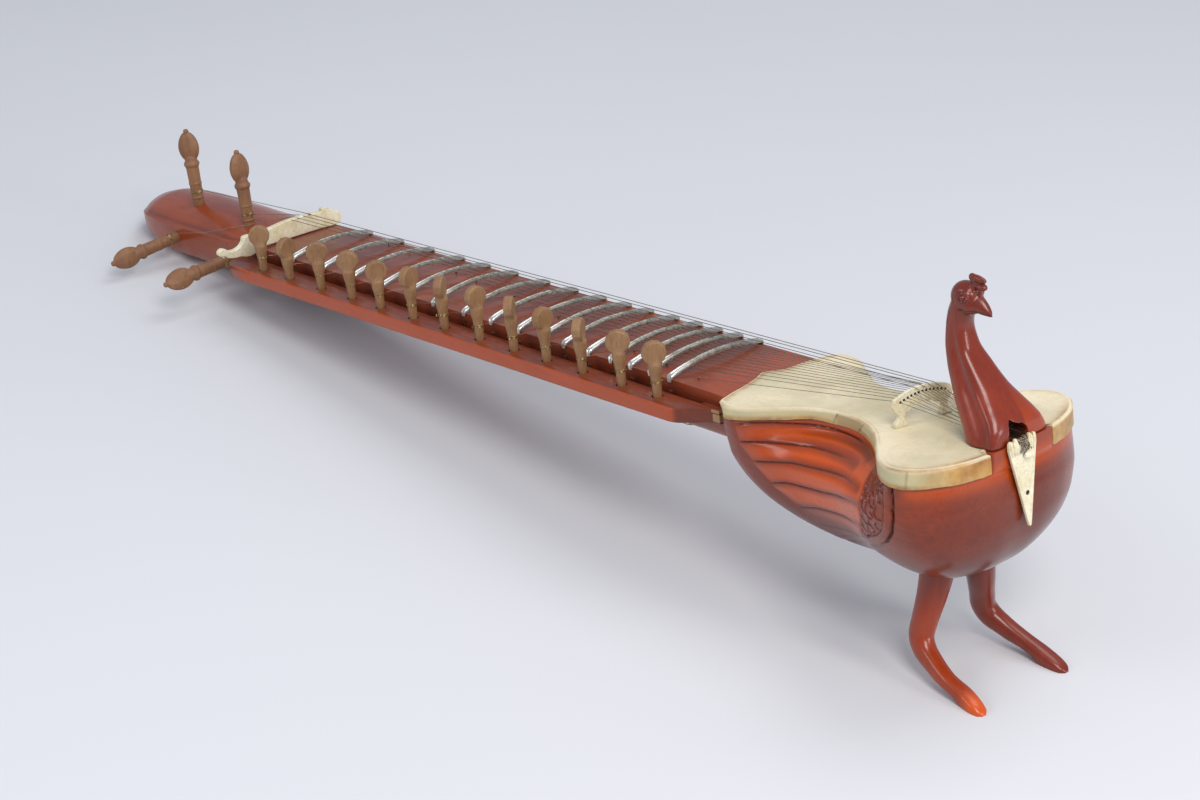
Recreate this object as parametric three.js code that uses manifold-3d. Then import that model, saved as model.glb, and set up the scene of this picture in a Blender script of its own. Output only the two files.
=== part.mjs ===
// A bowed lute with frets and a long neck, whose body is carved as a peacock that
// stands on two bird's legs: a mayuri, or taus. Millimetres, +Z up.
// Every piece is drawn in the instrument's own frame (u along the neck towards the
// bird, v across it, w out of the fingerboard, origin on the fingerboard at the last
// fret), and the whole is then tipped so that the feet and the pegbox rest on z = 0.
import * as THREE from "three";
import { mergeVertices } from "three/addons/utils/BufferGeometryUtils.js";
import Module from "manifold-3d";

const wasm = await Module();
wasm.setup();

// ---------------------------------------------------------------- driving dimensions
const TILT = 8.31; // degrees that the bird's end is raised, standing on its feet
const FLOOR = -135.5; // height of the floor below the frame's origin, along the vertical
const SHIFT = [228.14, 16.04, 135.5]; // moves the origin under the middle of the whole

const NECK_HALF = 44.8; // half width of the neck at the last fret
const NECK_TAPER = 0.107 / 517; // share of that width lost for each mm towards the nut
const NECK_END = 57.2; // where the neck butts on the body
const GAP = 0.3; // clearance between pieces that touch or run on each other

const FRETS = [
  -486.9, -441.2, -397.9, -356.3, -322.0, -285.6, -245.2, -210.0, -175.9, -146.3,
  -120.4, -91.4, -65.5, -43.2, -21.4, 0.0,
];
const FRET_WIDE = 5.4, // along the neck
  FRET_TALL = 2.8,
  FRET_ARCH = 5.6, // clear height under the middle of a fret
  TIE_WIDE = 2.4, // the wire tie, along the neck
  TIE_THICK = 0.9;

const PEGS = [
  -511.0, -471.0, -424.0, -379.5, -339.5, -295.0, -253.5, -208.5, -166.0, -126.5,
  -84.5, -40.5, -1.2,
];
const PEG_SITS = [0, -4, 1, 1.2, 0, 3, 2.6, 3.6, 3.2, 2.7, 2.5, 2.4, 2.2]; // heights
const PEG_V = -57; // the row of small pegs stands this far to the side
const PEG_TURN = [0, 48, 6, -8, 10, 50, 76, 40, 80, 45, 74, -6, 8]; // each head's turn
const FACE = 38.5; // degrees from +u to -v at which a head faces straight on
const RAIL_TOP = -9,
  RAIL_THICK = 11,
  RAIL_OUT = -68.5, // outer edge of the rail
  RAIL_SLOT = 3.2, // open slot between rail and neck, for the fret ties
  RAIL_START = -561;
const LUGS = [-543, -377, -227.6, -105.9, -54.4]; // blocks that join rail and neck
const EDGE_U = [
  -505, -464, -420, -376, -338, -278, -236.9, -201, -163, -111, -80.5, -34.8, 9.5,
]; // where each low string comes over the edge of the neck, between two frets
const LANE_FAR = 32.5, // the first low string's line along the neck, across from the pegs
  LANE_STEP = 5.45;
const STRING_R = 0.35;

const FAR_FULLER = 0.07; // share by which the far side of the body is wider
const SKIN_THICK = 1.2,
  SKIRT = 14; // how far the skin comes down the side
const skinTop = (u) => 2.5 + 0.0189 * (u - 60); // the skin's plane, tipped to the neck

const BRIDGE_U = 209,
  BRIDGE_V = -5,
  BRIDGE_TURN = 11, // degrees
  BRIDGE_THICK = 3.2,
  BRIDGE_HALF = 23,
  BRIDGE_HIGH = 24.5;
const HOLE_STEP = 3.05; // spacing of the bridge's string holes
const MAIN_NUT_V = [-6, 0.5, 7, 13];
const MAIN_BRIDGE_V = [-11, -5.5, 0, 5.5];
const NUT_U = -537,
  NUT_THICK = 6;

// upright main pegs A, B and side main pegs C, D: a point on the axis at the wood's
// surface, and the direction outwards
const MAIN = {
  a: { at: [-680, -12.5, 10.6], dir: [-0.05, 0, 1], turn: -8 },
  b: { at: [-593.5, -15, 4.4], dir: [-0.055, 0, 1], turn: 42 },
  c: { at: [-679, -42, -13.2], dir: [0, -1, -0.1], turn: 12 },
  d: { at: [-580, -47.6, -14.4], dir: [0, -1, -0.07], turn: 30 },
};

// ------------------------------------------------------------------------ shape tools
const rad = THREE.MathUtils.degToRad;
const V3 = (a) => new THREE.Vector3(a[0], a[1], a[2]);

function solid(geometry) {
  const g = geometry.clone();
  g.deleteAttribute("normal");
  g.deleteAttribute("uv");
  const m = mergeVertices(g, 1e-4);
  return new wasm.Manifold(
    new wasm.Mesh({
      numProp: 3,
      vertProperties: m.getAttribute("position").array,
      triVerts: new Uint32Array(m.index.array),
    }),
  );
}

function geometryOf(m) {
  const mesh = m.getMesh();
  return new THREE.BufferGeometry()
    .setAttribute("position", new THREE.BufferAttribute(mesh.vertProperties, 3))
    .setIndex(new THREE.BufferAttribute(mesh.triVerts, 1))
    .toNonIndexed();
}

// A cylinder's vertices moved onto rings: ring(t) gives n points for t from 0 to 1.
function loft(n, steps, ring) {
  const g = new THREE.CylinderGeometry(1, 1, 1, n, steps);
  const p = g.getAttribute("position");
  const rings = [];
  for (let j = 0; j <= steps; j++) rings.push(ring(j / steps, j));
  const centres = rings.map((r) =>
    r.reduce((a, b) => a.add(b), new THREE.Vector3()).multiplyScalar(1 / n),
  );
  for (let i = 0; i < p.count; i++) {
    const j = Math.round((p.getY(i) + 0.5) * steps);
    const r = Math.hypot(p.getX(i), p.getZ(i));
    let at = centres[j];
    if (r > 0.5) {
      const a = Math.atan2(p.getX(i), p.getZ(i)) / (2 * Math.PI);
      at = rings[j][(Math.round(a * n) + n) % n];
    }
    p.setXYZ(i, at.x, at.y, at.z);
  }
  let s = solid(g);
  if (s.volume() < 0) {
    const index = g.index.array;
    for (let i = 0; i < index.length; i += 3)
      [index[i + 1], index[i + 2]] = [index[i + 2], index[i + 1]];
    s = solid(g);
  }
  return s;
}

function tube(points, radius, n = 6) {
  const p = points.map(V3);
  return loft(n, p.length - 1, (t, j) => {
    const before = p[Math.max(0, j - 1)],
      after = p[Math.min(p.length - 1, j + 1)];
    const along = after.clone().sub(before).normalize();
    const up =
      Math.abs(along.z) > 0.8 ? new THREE.Vector3(1, 0, 0) : new THREE.Vector3(0, 0, 1);
    const side = new THREE.Vector3().crossVectors(along, up).normalize();
    const top = new THREE.Vector3().crossVectors(side, along);
    return Array.from({ length: n }, (_, k) => {
      const a = (2 * Math.PI * k) / n;
      return p[j]
        .clone()
        .addScaledVector(side, radius * Math.cos(a))
        .addScaledVector(top, radius * Math.sin(a));
    });
  });
}

function box(u0, u1, v0, v1, w0, w1) {
  const g = new THREE.BoxGeometry(u1 - u0, v1 - v0, w1 - w0);
  g.translate((u0 + u1) / 2, (v0 + v1) / 2, (w0 + w1) / 2);
  return solid(g);
}

// A closed outline of [x, y] points pushed from z0 to z1.
function prism(outline, z0, z1, holes = []) {
  const shape = new THREE.Shape(outline.map(([x, y]) => new THREE.Vector2(x, y)));
  for (const h of holes)
    shape.holes.push(new THREE.Path(h.map(([x, y]) => new THREE.Vector2(x, y))));
  const g = new THREE.ExtrudeGeometry(shape, {
    depth: z1 - z0,
    bevelEnabled: false,
    curveSegments: 4,
  });
  g.translate(0, 0, z0);
  return solid(g);
}

// A turned profile of [radius, along] points, along +z.
function turned(profile, n = 14) {
  const g = new THREE.LatheGeometry(
    profile.map(([r, z]) => new THREE.Vector2(r, z)),
    n,
  );
  g.rotateX(Math.PI / 2);
  let s = solid(g);
  if (s.volume() < 0) {
    g.scale(1, 1, 1);
    const flipped = new THREE.LatheGeometry(
      profile
        .slice()
        .reverse()
        .map(([r, z]) => new THREE.Vector2(r, z)),
      n,
    );
    flipped.rotateX(Math.PI / 2);
    s = solid(flipped);
  }
  return s;
}

// turns an outline drawn as [v, w] and pushed along z into one pushed along u
const ACROSS = [0, 1, 0, 0, 0, 0, 1, 0, 1, 0, 0, 0, 0, 0, 0, 1];

// Moves a solid drawn about +z so that +z points along dir, turned by angle about it.
function place(s, at, dir, angle = 0) {
  const q = new THREE.Quaternion().setFromUnitVectors(
    new THREE.Vector3(0, 0, 1),
    V3(dir).normalize(),
  );
  const m = new THREE.Matrix4().compose(V3(at), q, new THREE.Vector3(1, 1, 1));
  m.multiply(new THREE.Matrix4().makeRotationZ(angle));
  return s.transform(Array.from(m.elements));
}

const round = (cu, cv, r, n) =>
  Array.from({ length: n }, (_, k) => {
    const a = (2 * Math.PI * k) / n;
    return [cu + r * Math.cos(a), cv + r * Math.sin(a)];
  });

// Rows of numbers read at x, with straight lines between the rows.
function table(rows, x) {
  if (x <= rows[0][0]) return rows[0].slice(1);
  for (let i = 1; i < rows.length; i++)
    if (x <= rows[i][0]) {
      const f = (x - rows[i - 1][0]) / (rows[i][0] - rows[i - 1][0]);
      return rows[i].slice(1).map((b, k) => rows[i - 1][k + 1] * (1 - f) + b * f);
    }
  return rows[rows.length - 1].slice(1);
}

// -------------------------------------------------------------------------- the neck
const neckHalf = (u) => NECK_HALF * (1 + NECK_TAPER * u);
// station, half width, height of the top's edges, crown over them, depth below w = 0
const NECK = [
  [-771, 8, -8, 3, 15],
  [-767.5, 16, -6.5, 6.5, 19],
  [-760, 25, -5, 9.5, 23.5],
  [-749, 32.2, -4, 12, 28],
  [-735, 37.4, -3, 13.8, 32],
  [-715, 40.6, -3, 14.6, 36.2],
  [-690, 41.8, -3, 14.8, 38],
  [-650, 41.4, -3, 14, 38.4],
  [-600, 40.4, -2.6, 11, 38.6],
  [-570, 39.8, -1.6, 6.8, 38.8],
  [-548, neckHalf(-548), -0.4, 1.6, 39],
  [-540, neckHalf(-540), 0, 0.7, 39],
  [-300, neckHalf(-300), 0, 0.7, 40],
  [20, neckHalf(20), 0, 0.7, 42],
  [NECK_END, neckHalf(NECK_END), 0, 0.7, 42.5],
];

// The neck's outline at station u, grown outwards by grow: 11 points over the top and
// the rest round the sides and the underside.
function neckSection(u, grow = 0, n = 32) {
  const [b0, edge, crown, d0] = table(NECK, u);
  const b = b0 + grow,
    d = d0 + grow,
    top = 10,
    out = [];
  for (let k = 0; k < top; k++) {
    const v = b * Math.cos((Math.PI * k) / top);
    out.push([v, edge + grow + crown * (1 - (v / b) ** 2)]);
  }
  for (let k = 0; k < n - top; k++) {
    const a = Math.PI + (Math.PI * k) / (n - top);
    const c = Math.cos(a),
      s = Math.sin(a);
    out.push([
      b * Math.sign(c) * Math.abs(c) ** 0.55,
      edge + grow + (d + edge + grow) * -1 * Math.abs(s) ** 0.55,
    ]);
  }
  return out;
}
const neckDepthAt = (u) => table(NECK, u)[3];

function neckSolid() {
  const u = NECK.map((r) => r[0]);
  return loft(32, u.length - 1, (t, j) =>
    neckSection(u[j]).map(([v, w]) => new THREE.Vector3(u[j], v, w)),
  );
}

// floor plane in the instrument's frame, as a slab to cut with
function belowFloor() {
  const slab = new THREE.BoxGeometry(1400, 500, 120);
  slab.translate(-200, 0, FLOOR - 60);
  slab.rotateY(rad(TILT));
  return solid(slab);
}

// --------------------------------------------------------------------------- the body
// plan of the skin's edge, [u, v], from the middle of the rear end to the front's middle
const PLAN_TOP = [
  [58, 0], [58, 22], [58.5, 44], [64, 56], [76, 60.5], [92, 56.5], [110, 44],
  [130, 31.5], [152, 27], [175, 29.5], [196, 40], [216, 58], [233, 73.5], [248, 79.5],
  [262, 76.5], [275, 65], [284, 48], [288, 28], [288, 0],
];
// plan of the body where it is fullest
const PLAN_FULL = [
  [58, 0], [58, 20], [59, 40], [64, 51], [76, 56], [92, 57], [110, 56], [130, 55],
  [152, 56], [175, 60], [196, 67], [216, 74], [233, 78.5], [248, 79], [262, 75.5],
  [275, 65], [284, 47], [289, 25], [289.5, 0],
];
const KEEL = [200, 0]; // the lowest point, where the hull's lines close
// depth under the skin's plane, share of the full plan, and the hull's three closings:
// behind the keel, before it, and across
const HULL = [
  [1.5, 0, 1, 1, 1],
  [14.4, 0, 1, 1, 1],
  [20, 0.3, 1, 1, 1],
  [28, 0.72, 1, 1, 1],
  [38, 1, 0.99, 1.005, 0.995],
  [52, 1, 0.935, 1.0, 0.95],
  [66, 1, 0.83, 0.965, 0.87],
  [79, 1, 0.69, 0.895, 0.75],
  [90, 1, 0.525, 0.785, 0.59],
  [98, 1, 0.36, 0.63, 0.42],
  [103.5, 1, 0.2, 0.42, 0.24],
  [106, 1, 0.07, 0.14, 0.07],
];

// the far side is carved a little fuller than the near side
const fuller = (u) => 1 + FAR_FULLER * Math.min(1, Math.max(0, (u - 160) / 60));
function closedPlan(half, n) {
  const all = [
    ...half.map(([u, v]) => new THREE.Vector3(u, v * fuller(u), 0)),
    ...half
      .slice(1, -1)
      .reverse()
      .map(([u, v]) => new THREE.Vector3(u, -v, 0)),
  ];
  const curve = new THREE.CatmullRomCurve3(all, true, "centripetal");
  return Array.from({ length: n }, (_, k) => {
    const p = curve.getPoint(k / n);
    return [p.x, p.y];
  });
}

function offsetPlan(plan, by) {
  const n = plan.length;
  return plan.map(([u, v], k) => {
    const [ua, va] = plan[(k + n - 1) % n],
      [ub, vb] = plan[(k + 1) % n];
    const du = ub - ua,
      dv = vb - va,
      l = Math.hypot(du, dv) || 1;
    return [u - (dv / l) * by, v + (du / l) * by];
  });
}
const BODY_N = 64;
const planTop = closedPlan(PLAN_TOP, BODY_N),
  planFull = closedPlan(PLAN_FULL, BODY_N);
// which way offsetPlan grows depends on the order of the points: make + go outwards
const grow = Math.sign(
  offsetPlan(planTop, 1)[BODY_N / 4][1] * Math.sign(planTop[BODY_N / 4][1]) -
    Math.abs(planTop[BODY_N / 4][1]),
);
const outwards = (plan, by) => offsetPlan(plan, by * grow);

// the hull grown outwards by by, or shrunk where by is negative, from depth d0 down
function hull(by, top, low, rows = HULL) {
  const inTop = outwards(planTop, by - SKIN_THICK - GAP),
    inFull = outwards(planFull, by);
  const steps = rows.length - 1;
  return loft(BODY_N, steps, (t, j) => {
    const [depth, full, rear, front, across] = rows[j];
    const d = j === 0 ? top : j === steps ? depth + low : depth + (low * j) / steps;
    return inTop.map(([ut, vt], k) => {
      const [uf, vf] = inFull[k];
      let u = ut * (1 - full) + uf * full,
        v = vt * (1 - full) + vf * full;
      u = KEEL[0] + (u - KEEL[0]) * (u < KEEL[0] ? rear : front);
      v *= across;
      return new THREE.Vector3(u, v, skinTop(u) - d);
    });
  });
}

// a solid drawn on a level skin, sheared so that it follows the skin's plane
const onSkin = (s) =>
  s.warp((p) => {
    p[2] += skinTop(p[0]);
  });

// ------------------------------------------------------------------- the bird's neck
// height, back, widest place, front, half width, how square the front is, and how far
// its middle stands to the far side
const BIRD = [
  [4.6, 248.5, 277, 287, 28.5, 5, 4.4],
  [10, 247.5, 275.5, 287.6, 27.6, 5, 4.2],
  [16, 245, 272, 287.6, 25.6, 4.6, 4],
  [22, 241.5, 268, 285.6, 23, 4.1, 3.5],
  [30, 238, 262, 279.6, 19.6, 3.5, 2.8],
  [40, 235, 255, 271.4, 15.8, 3, 2],
  [53, 232.6, 248.5, 261.2, 12, 2.6, 1],
  [66, 232, 244, 252.8, 9.8, 2.3, 0.3],
  [79, 233.8, 243, 250.4, 9, 2.1, 0],
  [88, 236.4, 246, 254, 9, 2, 0],
  [96, 240, 249, 256, 7.5, 2, 0],
];
function birdRing(row, by, n) {
  const [w, back, wide, front, half, square, mid] = row;
  return Array.from({ length: n }, (_, k) => {
    const a = (2 * Math.PI * k) / n;
    const c = Math.cos(a),
      s = Math.sin(a);
    const e = c > 0 ? 2 / square : 1;
    return new THREE.Vector3(
      wide + (c > 0 ? front - wide + by : wide - back + by) * Math.sign(c) * Math.abs(c) ** e,
      mid + (half + by) * Math.sign(s) * Math.abs(s) ** e,
      w,
    );
  });
}

// ------------------------------------------------------------------------- materials
const finish = (name, color, roughness, metalness = 0) => {
  const m = new THREE.MeshStandardMaterial({ color, roughness, metalness });
  m.name = name;
  return m;
};
const wood = () => finish("carved_wood", 0x8f3214, 0.32);
const darkWood = () => finish("neck_wood", 0x8a3a1c, 0.38);
const pegWood = () => finish("peg_wood", 0x8b6746, 0.72);
const skin = () => finish("skin", 0xd8d2b4, 0.6);
const ivory = () => finish("ivory", 0xe8e0c2, 0.45);
const fretMetal = () => finish("fret_metal", 0x8d8a80, 0.4, 0.9);
const wire = () => finish("string_wire", 0x77736a, 0.35, 0.9);

const root = new THREE.Group();
root.name = "mayuri";
const instrument = new THREE.Group();
instrument.rotation.y = -rad(TILT);
instrument.position.set(...SHIFT);
root.add(instrument);
const add = (name, s, material) => {
  const m = new THREE.Mesh(geometryOf(s), material);
  m.name = name;
  instrument.add(m);
  return m;
};

// ----------------------------------------------------------------------------- build
const floorSlab = belowFloor();

// body shell: a carved bowl, open on top, with a solid block at the front for the bird
{
  const outer = hull(0, 1.5, 0);
  const HOLLOW = [
    [-3, 0, 1, 1, 1],
    [14, 0, 1, 1, 1],
    [26, 0.5, 1, 1, 1],
    [40, 1, 0.99, 0.99, 0.98],
    [62, 1, 0.86, 0.97, 0.88],
    [80, 1, 0.65, 0.86, 0.7],
    [91, 1, 0.42, 0.66, 0.44],
    [96, 1, 0.2, 0.36, 0.2],
  ];
  const hollow = hull(-7, -3, 0, HOLLOW).subtract(
    onSkin(box(240, 320, -30, 38, -34, 20)),
  );
  let body = outer.subtract(hollow);
  // mortise in the rear wall for the neck's tenon, and the bird's dowel socket
  body = body.subtract(box(50, 72, -24.3, 24.3, -30.3, -9.7));
  body = body.subtract(
    place(turned([[0, -24], [6.3, -24], [6.3, 4], [0, 4]], 16), [270, 4, 5], [0, 0, 1]),
  );
  add("body_shell", body, wood());
}

// skin: one sheet over the bowl, its flap on the end of the neck, its skirt down the
// sides, cut round the foot of the bird
{
  const flap = [
    [48, 0], [52.5, -10], [57, -27], [60.5, -44], [66, -56.5],
  ];
  const edge = planTop.filter(([u]) => u > 70);
  const upper = edge.filter(([, v]) => v >= 0),
    lower = edge.filter(([, v]) => v < 0);
  upper.sort((a, b) => 0);
  const far = [
    [67, 55], [61, 43], [58.5, 30], [57, 15], [52, 7],
  ];
  // going round once: far side from rear to front, near side back, then the flap
  const plan = [...upper, ...lower, [66, -56.5], [60.5, -44], [57, -27], [52.5, -10], [48, 0], [52, 7], [57, 15], [58.5, 30], [61, 43], [67, 55]];
  const top = prism(plan, -SKIN_THICK, 0);
  const ring = prism(planTop, -SKIRT, -SKIN_THICK + 0.1).subtract(
    prism(outwards(planTop, -SKIN_THICK), -SKIRT - 1, 1),
  );
  let cap = top.add(
    ring
      .subtract(box(40, 66, -57.5, 57.5, -30, 5))
      .subtract(box(270, 300, -25.5, 34.5, -30, -SKIN_THICK + 0.05)),
  );
  // hole for the foot of the bird
  const foot = birdRing(BIRD[0], 0.5, 28).map((p) => [p.x, p.y]);
  cap = cap
    .subtract(prism(foot, -3, 3))
    .subtract(box(280, 300, -25.5, 34.5, -30, 3));
  add("soundboard_skin", onSkin(cap), skin());
}

// neck and pegbox, carved in one
let neck = neckSolid().subtract(floorSlab);
neck = neck.add(box(40, 68, -24, 24, -30, -10));
for (const m of Object.values(MAIN)) {
  const deep = m.dir[2] > 0.5 ? 15.5 : 20.5;
  neck = neck.subtract(
    place(turned([[0, -deep], [4.9 + GAP, -deep], [5.5 + GAP, 12], [0, 12]], 14), m.at, m.dir),
  );
}
// lanes of the low strings, each turned by a small pin set in the fingerboard
const lanes = EDGE_U.map((u, i) => {
  const v = LANE_FAR - LANE_STEP * i;
  const edge = -neckHalf(u) - 0.1;
  return { edge: [u, edge], turn: [u + 0.8 * (v - edge), v] };
});
for (const { turn } of lanes) {
  neck = neck.add(
    place(turned([[0, -1], [0.7, -1], [0.7, 2.1], [0, 2.1]], 6), [turn[0], turn[1] - 1.4, 0.5], [0, 0, 1]),
  );
}
add("neck", neck, darkWood());

// rail of the small pegs, joined to the neck by lugs across an open slot
{
  const inner = (u) => -neckHalf(u) - RAIL_SLOT;
  const plan = [
    [RAIL_START, inner(RAIL_START)],
    [RAIL_START, -58],
    [RAIL_START + 10, RAIL_OUT + 1.5],
    [-530, RAIL_OUT],
    [20, RAIL_OUT],
    [29, -66.5],
    [46, -53.5],
    [56.5, -50.5],
    [56.5, inner(50)],
  ];
  let rail = prism(plan, RAIL_TOP - RAIL_THICK, RAIL_TOP);
  // bevel along the lower outer edge
  const bevel = new THREE.BoxGeometry(640, 9, 9);
  bevel.rotateX(rad(45));
  bevel.translate(-255, RAIL_OUT - 1.8, RAIL_TOP - RAIL_THICK - 1.8);
  rail = rail.subtract(solid(bevel));
  for (const u of LUGS)
    rail = rail.add(
      box(u - 4, u + 4, inner(u) - 2, -neckHalf(u) - GAP, RAIL_TOP - RAIL_THICK + 2, RAIL_TOP - 1.5),
    );
  rail = rail.add(box(36, 56.5, inner(40) - 2, -neckHalf(56.5) - GAP, RAIL_TOP - RAIL_THICK, RAIL_TOP));
  for (const u of PEGS)
    rail = rail.subtract(
      place(turned([[0, -16], [3.0 + GAP, -16], [3.8 + GAP, 2], [0, 2]], 12), [u, PEG_V, RAIL_TOP], [0, 0, 1]),
    );
  add("peg_rail", rail, wood());
}

// frets: an arched metal bar with a channel along its top, tied round the neck
FRETS.forEach((u, i) => {
  const b = neckHalf(u);
  const arch = (v) => 1.05 + FRET_ARCH * (1 - (v / b) ** 2);
  const half = FRET_WIDE / 2;
  // underside of the bar from one side to the other: v, w, outward normal, thickness
  const line = [
    [-(b + 0.5), -3.4, -1, 0, 1],
    [-(b + 0.5), 0.7, -0.94, 0.34, 1.3],
    [-(b - 1.2), 1.2, -0.34, 0.94, 2.3],
  ];
  for (let k = -4; k <= 4; k++) {
    const v = ((b - 5) * k) / 4;
    const slope = (-2 * FRET_ARCH * v) / (b * b);
    const l = Math.hypot(1, slope);
    line.push([v, arch(v), -slope / l, 1 / l, FRET_TALL]);
  }
  line.push([b - 1.2, 1.2, 0.34, 0.94, 2.3]);
  line.push([b + 0.5, 0.7, 0.94, 0.34, 1.3]);
  line.push([b + 0.5, -3.4, 1, 0, 1]);
  const PROFILE = [
    [-half, 0], [half, 0], [half, 0.78], [1.7, 1], [0, 0.68], [-1.7, 1], [-half, 0.78],
  ];
  const bar = loft(PROFILE.length, line.length - 1, (t, j) => {
    const [v, w, nv, nw, thick] = line[j];
    return PROFILE.map(
      ([x, y]) => new THREE.Vector3(u + x, v + nv * y * thick, w + nw * y * thick),
    );
  });
  const tie = prism(neckSection(u, 0.5 + TIE_THICK, 26), u - TIE_WIDE / 2, u + TIE_WIDE / 2)
    .subtract(prism(neckSection(u, 0.5, 26), u - 3, u + 3))
    .transform(ACROSS)
    .subtract(box(u - 5, u + 5, -b - 3, b + 3, -1.2, 12));
  add("fret_" + String(i + 1).padStart(2, "0"), bar.add(tie), fretMetal());
});

// nut: a carved ivory plate across the neck, with a curled tail over the rail
{
  const outline = [
    [43, 1.2], [45.5, 4], [46, 8.4], [43.5, 12.4], [39, 14.4], [36.5, 16], [32.6, 16.6],
    [30.5, 18.6], [27.5, 18.8], [26, 16.2], [13, 17.4], [0, 17.8], [-13, 17.4], [-27, 16],
    [-36, 14.8], [-44, 14.6], [-52, 15.8], [-56, 15], [-57.5, 11.4], [-61.5, 8],
    [-67, 6.6], [-73, 7.6], [-76, 10], [-79, 10.8], [-82, 9.2], [-82.6, 6.2],
    [-80.4, 4], [-76.4, 3.6], [-74, 1.4], [-68, -0.4], [-61, -1], [-56, -2.6], [-50, -3],
    [-45, -0.8], [-40, 1.3], [-20, 1.35], [0, 1.4], [20, 1.35],
  ];
  let nut = prism(outline, NUT_U - NUT_THICK, NUT_U).transform(ACROSS);
  for (const v of MAIN_NUT_V)
    nut = nut.subtract(box(NUT_U - 8, NUT_U + 2, v - 0.8, v + 0.8, 16.6, 22));
  add("nut", nut, ivory());
}
const nutTop = 16.6 + GAP + STRING_R;

// bridge: ivory, on two feet, its arched top pierced for the low strings
const bridgeFoot = skinTop(BRIDGE_U) + 0.35;
const bridgeTurn = rad(BRIDGE_TURN);
const bridgePoint = (v, w) => {
  const y = v - BRIDGE_V;
  return [BRIDGE_U + y * Math.sin(bridgeTurn), BRIDGE_V + y * Math.cos(bridgeTurn), w];
};
const bridgeArch = (y) => BRIDGE_HIGH - 5.2 * (y / BRIDGE_HALF) ** 2;
const holeY = (i) => (6 - i) * HOLE_STEP;
{
  const outline = [];
  for (let k = 0; k <= 12; k++) {
    const y = -BRIDGE_HALF + (2 * BRIDGE_HALF * k) / 12;
    outline.push([y, bridgeArch(y)]);
  }
  outline.push([23.4, 12], [20.5, 9.2], [20.8, 5], [23.5, 1.8], [23.2, 0], [14, 0], [14.2, 3], [15.6, 5.2]);
  for (let k = 1; k <= 7; k++) {
    const y = 14.6 - (29.2 * k) / 8;
    outline.push([y, 8.6 + 4.2 * (1 - (y / 14.6) ** 2)]);
  }
  outline.push([-15.6, 5.2], [-14.2, 3], [-13, 0], [-23.6, 0], [-24, 1.8], [-20.6, 5], [-20.2, 9.2], [-23.4, 12]);
  const holes = [];
  for (let i = 0; i < 13; i++) holes.push(round(holeY(i), bridgeArch(holeY(i)) - 4.1, 1.2, 8));
  const m = new THREE.Matrix4().set(
    Math.cos(bridgeTurn), Math.sin(bridgeTurn), 0, BRIDGE_U,
    -Math.sin(bridgeTurn), Math.cos(bridgeTurn), 0, BRIDGE_V,
    0, 0, 1, bridgeFoot,
    0, 0, 0, 1,
  );
  const plate = prism(outline, -BRIDGE_THICK / 2, BRIDGE_THICK / 2, holes)
    .transform(ACROSS);
  add("bridge", plate.transform(Array.from(m.elements)), ivory());
}

// bird's neck and head, with the tunnel that the strings go through
{
  const n = 24;
  let bird = loft(n, BIRD.length - 1, (t, j) => birdRing(BIRD[j], 0, n));
  const head = solid(new THREE.SphereGeometry(1, 16, 10).scale(11.8, 9.8, 12).translate(249, 0, 97.5));
  const bill = loft(12, 4, (t, j) => {
    const r = [8, 7.2, 5.6, 3.2, 0.5][j],
      u = [252, 258.5, 263.5, 267.8, 270.8][j],
      w = [98, 97.2, 95.4, 93, 90.2][j];
    return Array.from({ length: 12 }, (_, k) => {
      const a = (2 * Math.PI * k) / 12;
      return new THREE.Vector3(u, r * 0.82 * Math.cos(a), w + r * 1.1 * Math.sin(a));
    });
  });
  bird = bird.add(head).add(bill);
  for (const [u, w, a, r] of [[254.6, 110.6, -18, 3.6], [261.2, 109.4, 24, 3.7]])
    bird = bird.add(
      place(
        solid(new THREE.SphereGeometry(1, 10, 8).scale(r * 0.85, r * 0.7, r * 1.7)),
        [u, 0, w + 1.6],
        [Math.sin(rad(a)), 0, Math.cos(rad(a))],
      ),
    );
  // tunnel: wide at the back, where the strings come in, narrow at the front
  const tunnel = loft(12, 2, (t, j) => {
    const u = [236, 262, 296][j],
      half = [17, 13.5, 9.5][j],
      low = [7.2, 7.2, 7.2][j],
      high = [22.5, 22, 21][j];
    return [
      [1, 0], [1, 0.62], [0.72, 0.86], [0.35, 1], [-0.35, 1], [-0.72, 0.86], [-1, 0.62],
      [-1, 0], [-0.5, 0], [-0.2, 0], [0.2, 0], [0.5, 0],
    ].map(([y, z]) => new THREE.Vector3(u, 1.5 + half * y, low + (high - low) * z));
  });
  bird = bird.subtract(tunnel);
  bird = bird.add(place(turned([[0, -19], [6, -19], [6, 1], [0, 1]], 16), [270, 4, 5.4], [0, 0, 1]));
  // its underside follows the block it stands on
  const under = onSkin(box(200, 310, -60, 60, -60, -SKIN_THICK + 0.1)).subtract(
    place(turned([[0, -24], [6.05, -24], [6.05, 12], [0, 12]], 16), [270, 4, 5.4], [0, 0, 1]),
  );
  add("peacock_neck", bird.subtract(under), wood());
}

// tailpiece: a long ivory triangle on the breast, its head cut as a comb
{
  const outline = [[-2.2, -50], [0.6, -51], [2.4, -49.5], [13.2, 4.5], [13, 9.6], [10.4, 9.8], [10, 6.6], [8.6, 6.6], [8.2, 10.4], [5.8, 10.6], [5.4, 7], [-4.4, 7], [-4.8, 10.8], [-7.2, 10.6], [-7.6, 6.8], [-9, 6.8], [-9.4, 9.8], [-12.8, 9.4], [-13.2, 4.5]];
  const plate = prism(outline, 0, 2.4, [round(0.2, -28, 1.5, 8)]);
  // lies a little off upright, tip forward
  const lean = rad(-3.8);
  const flat = new THREE.Matrix4().set(
    0, Math.sin(lean), Math.cos(lean), 289.3,
    1, 0, 0, 0.5,
    0, Math.cos(lean), -Math.sin(lean), 0,
    0, 0, 0, 1,
  );
  add("tailpiece", plate.transform(Array.from(flat.elements)), ivory());
}

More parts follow.
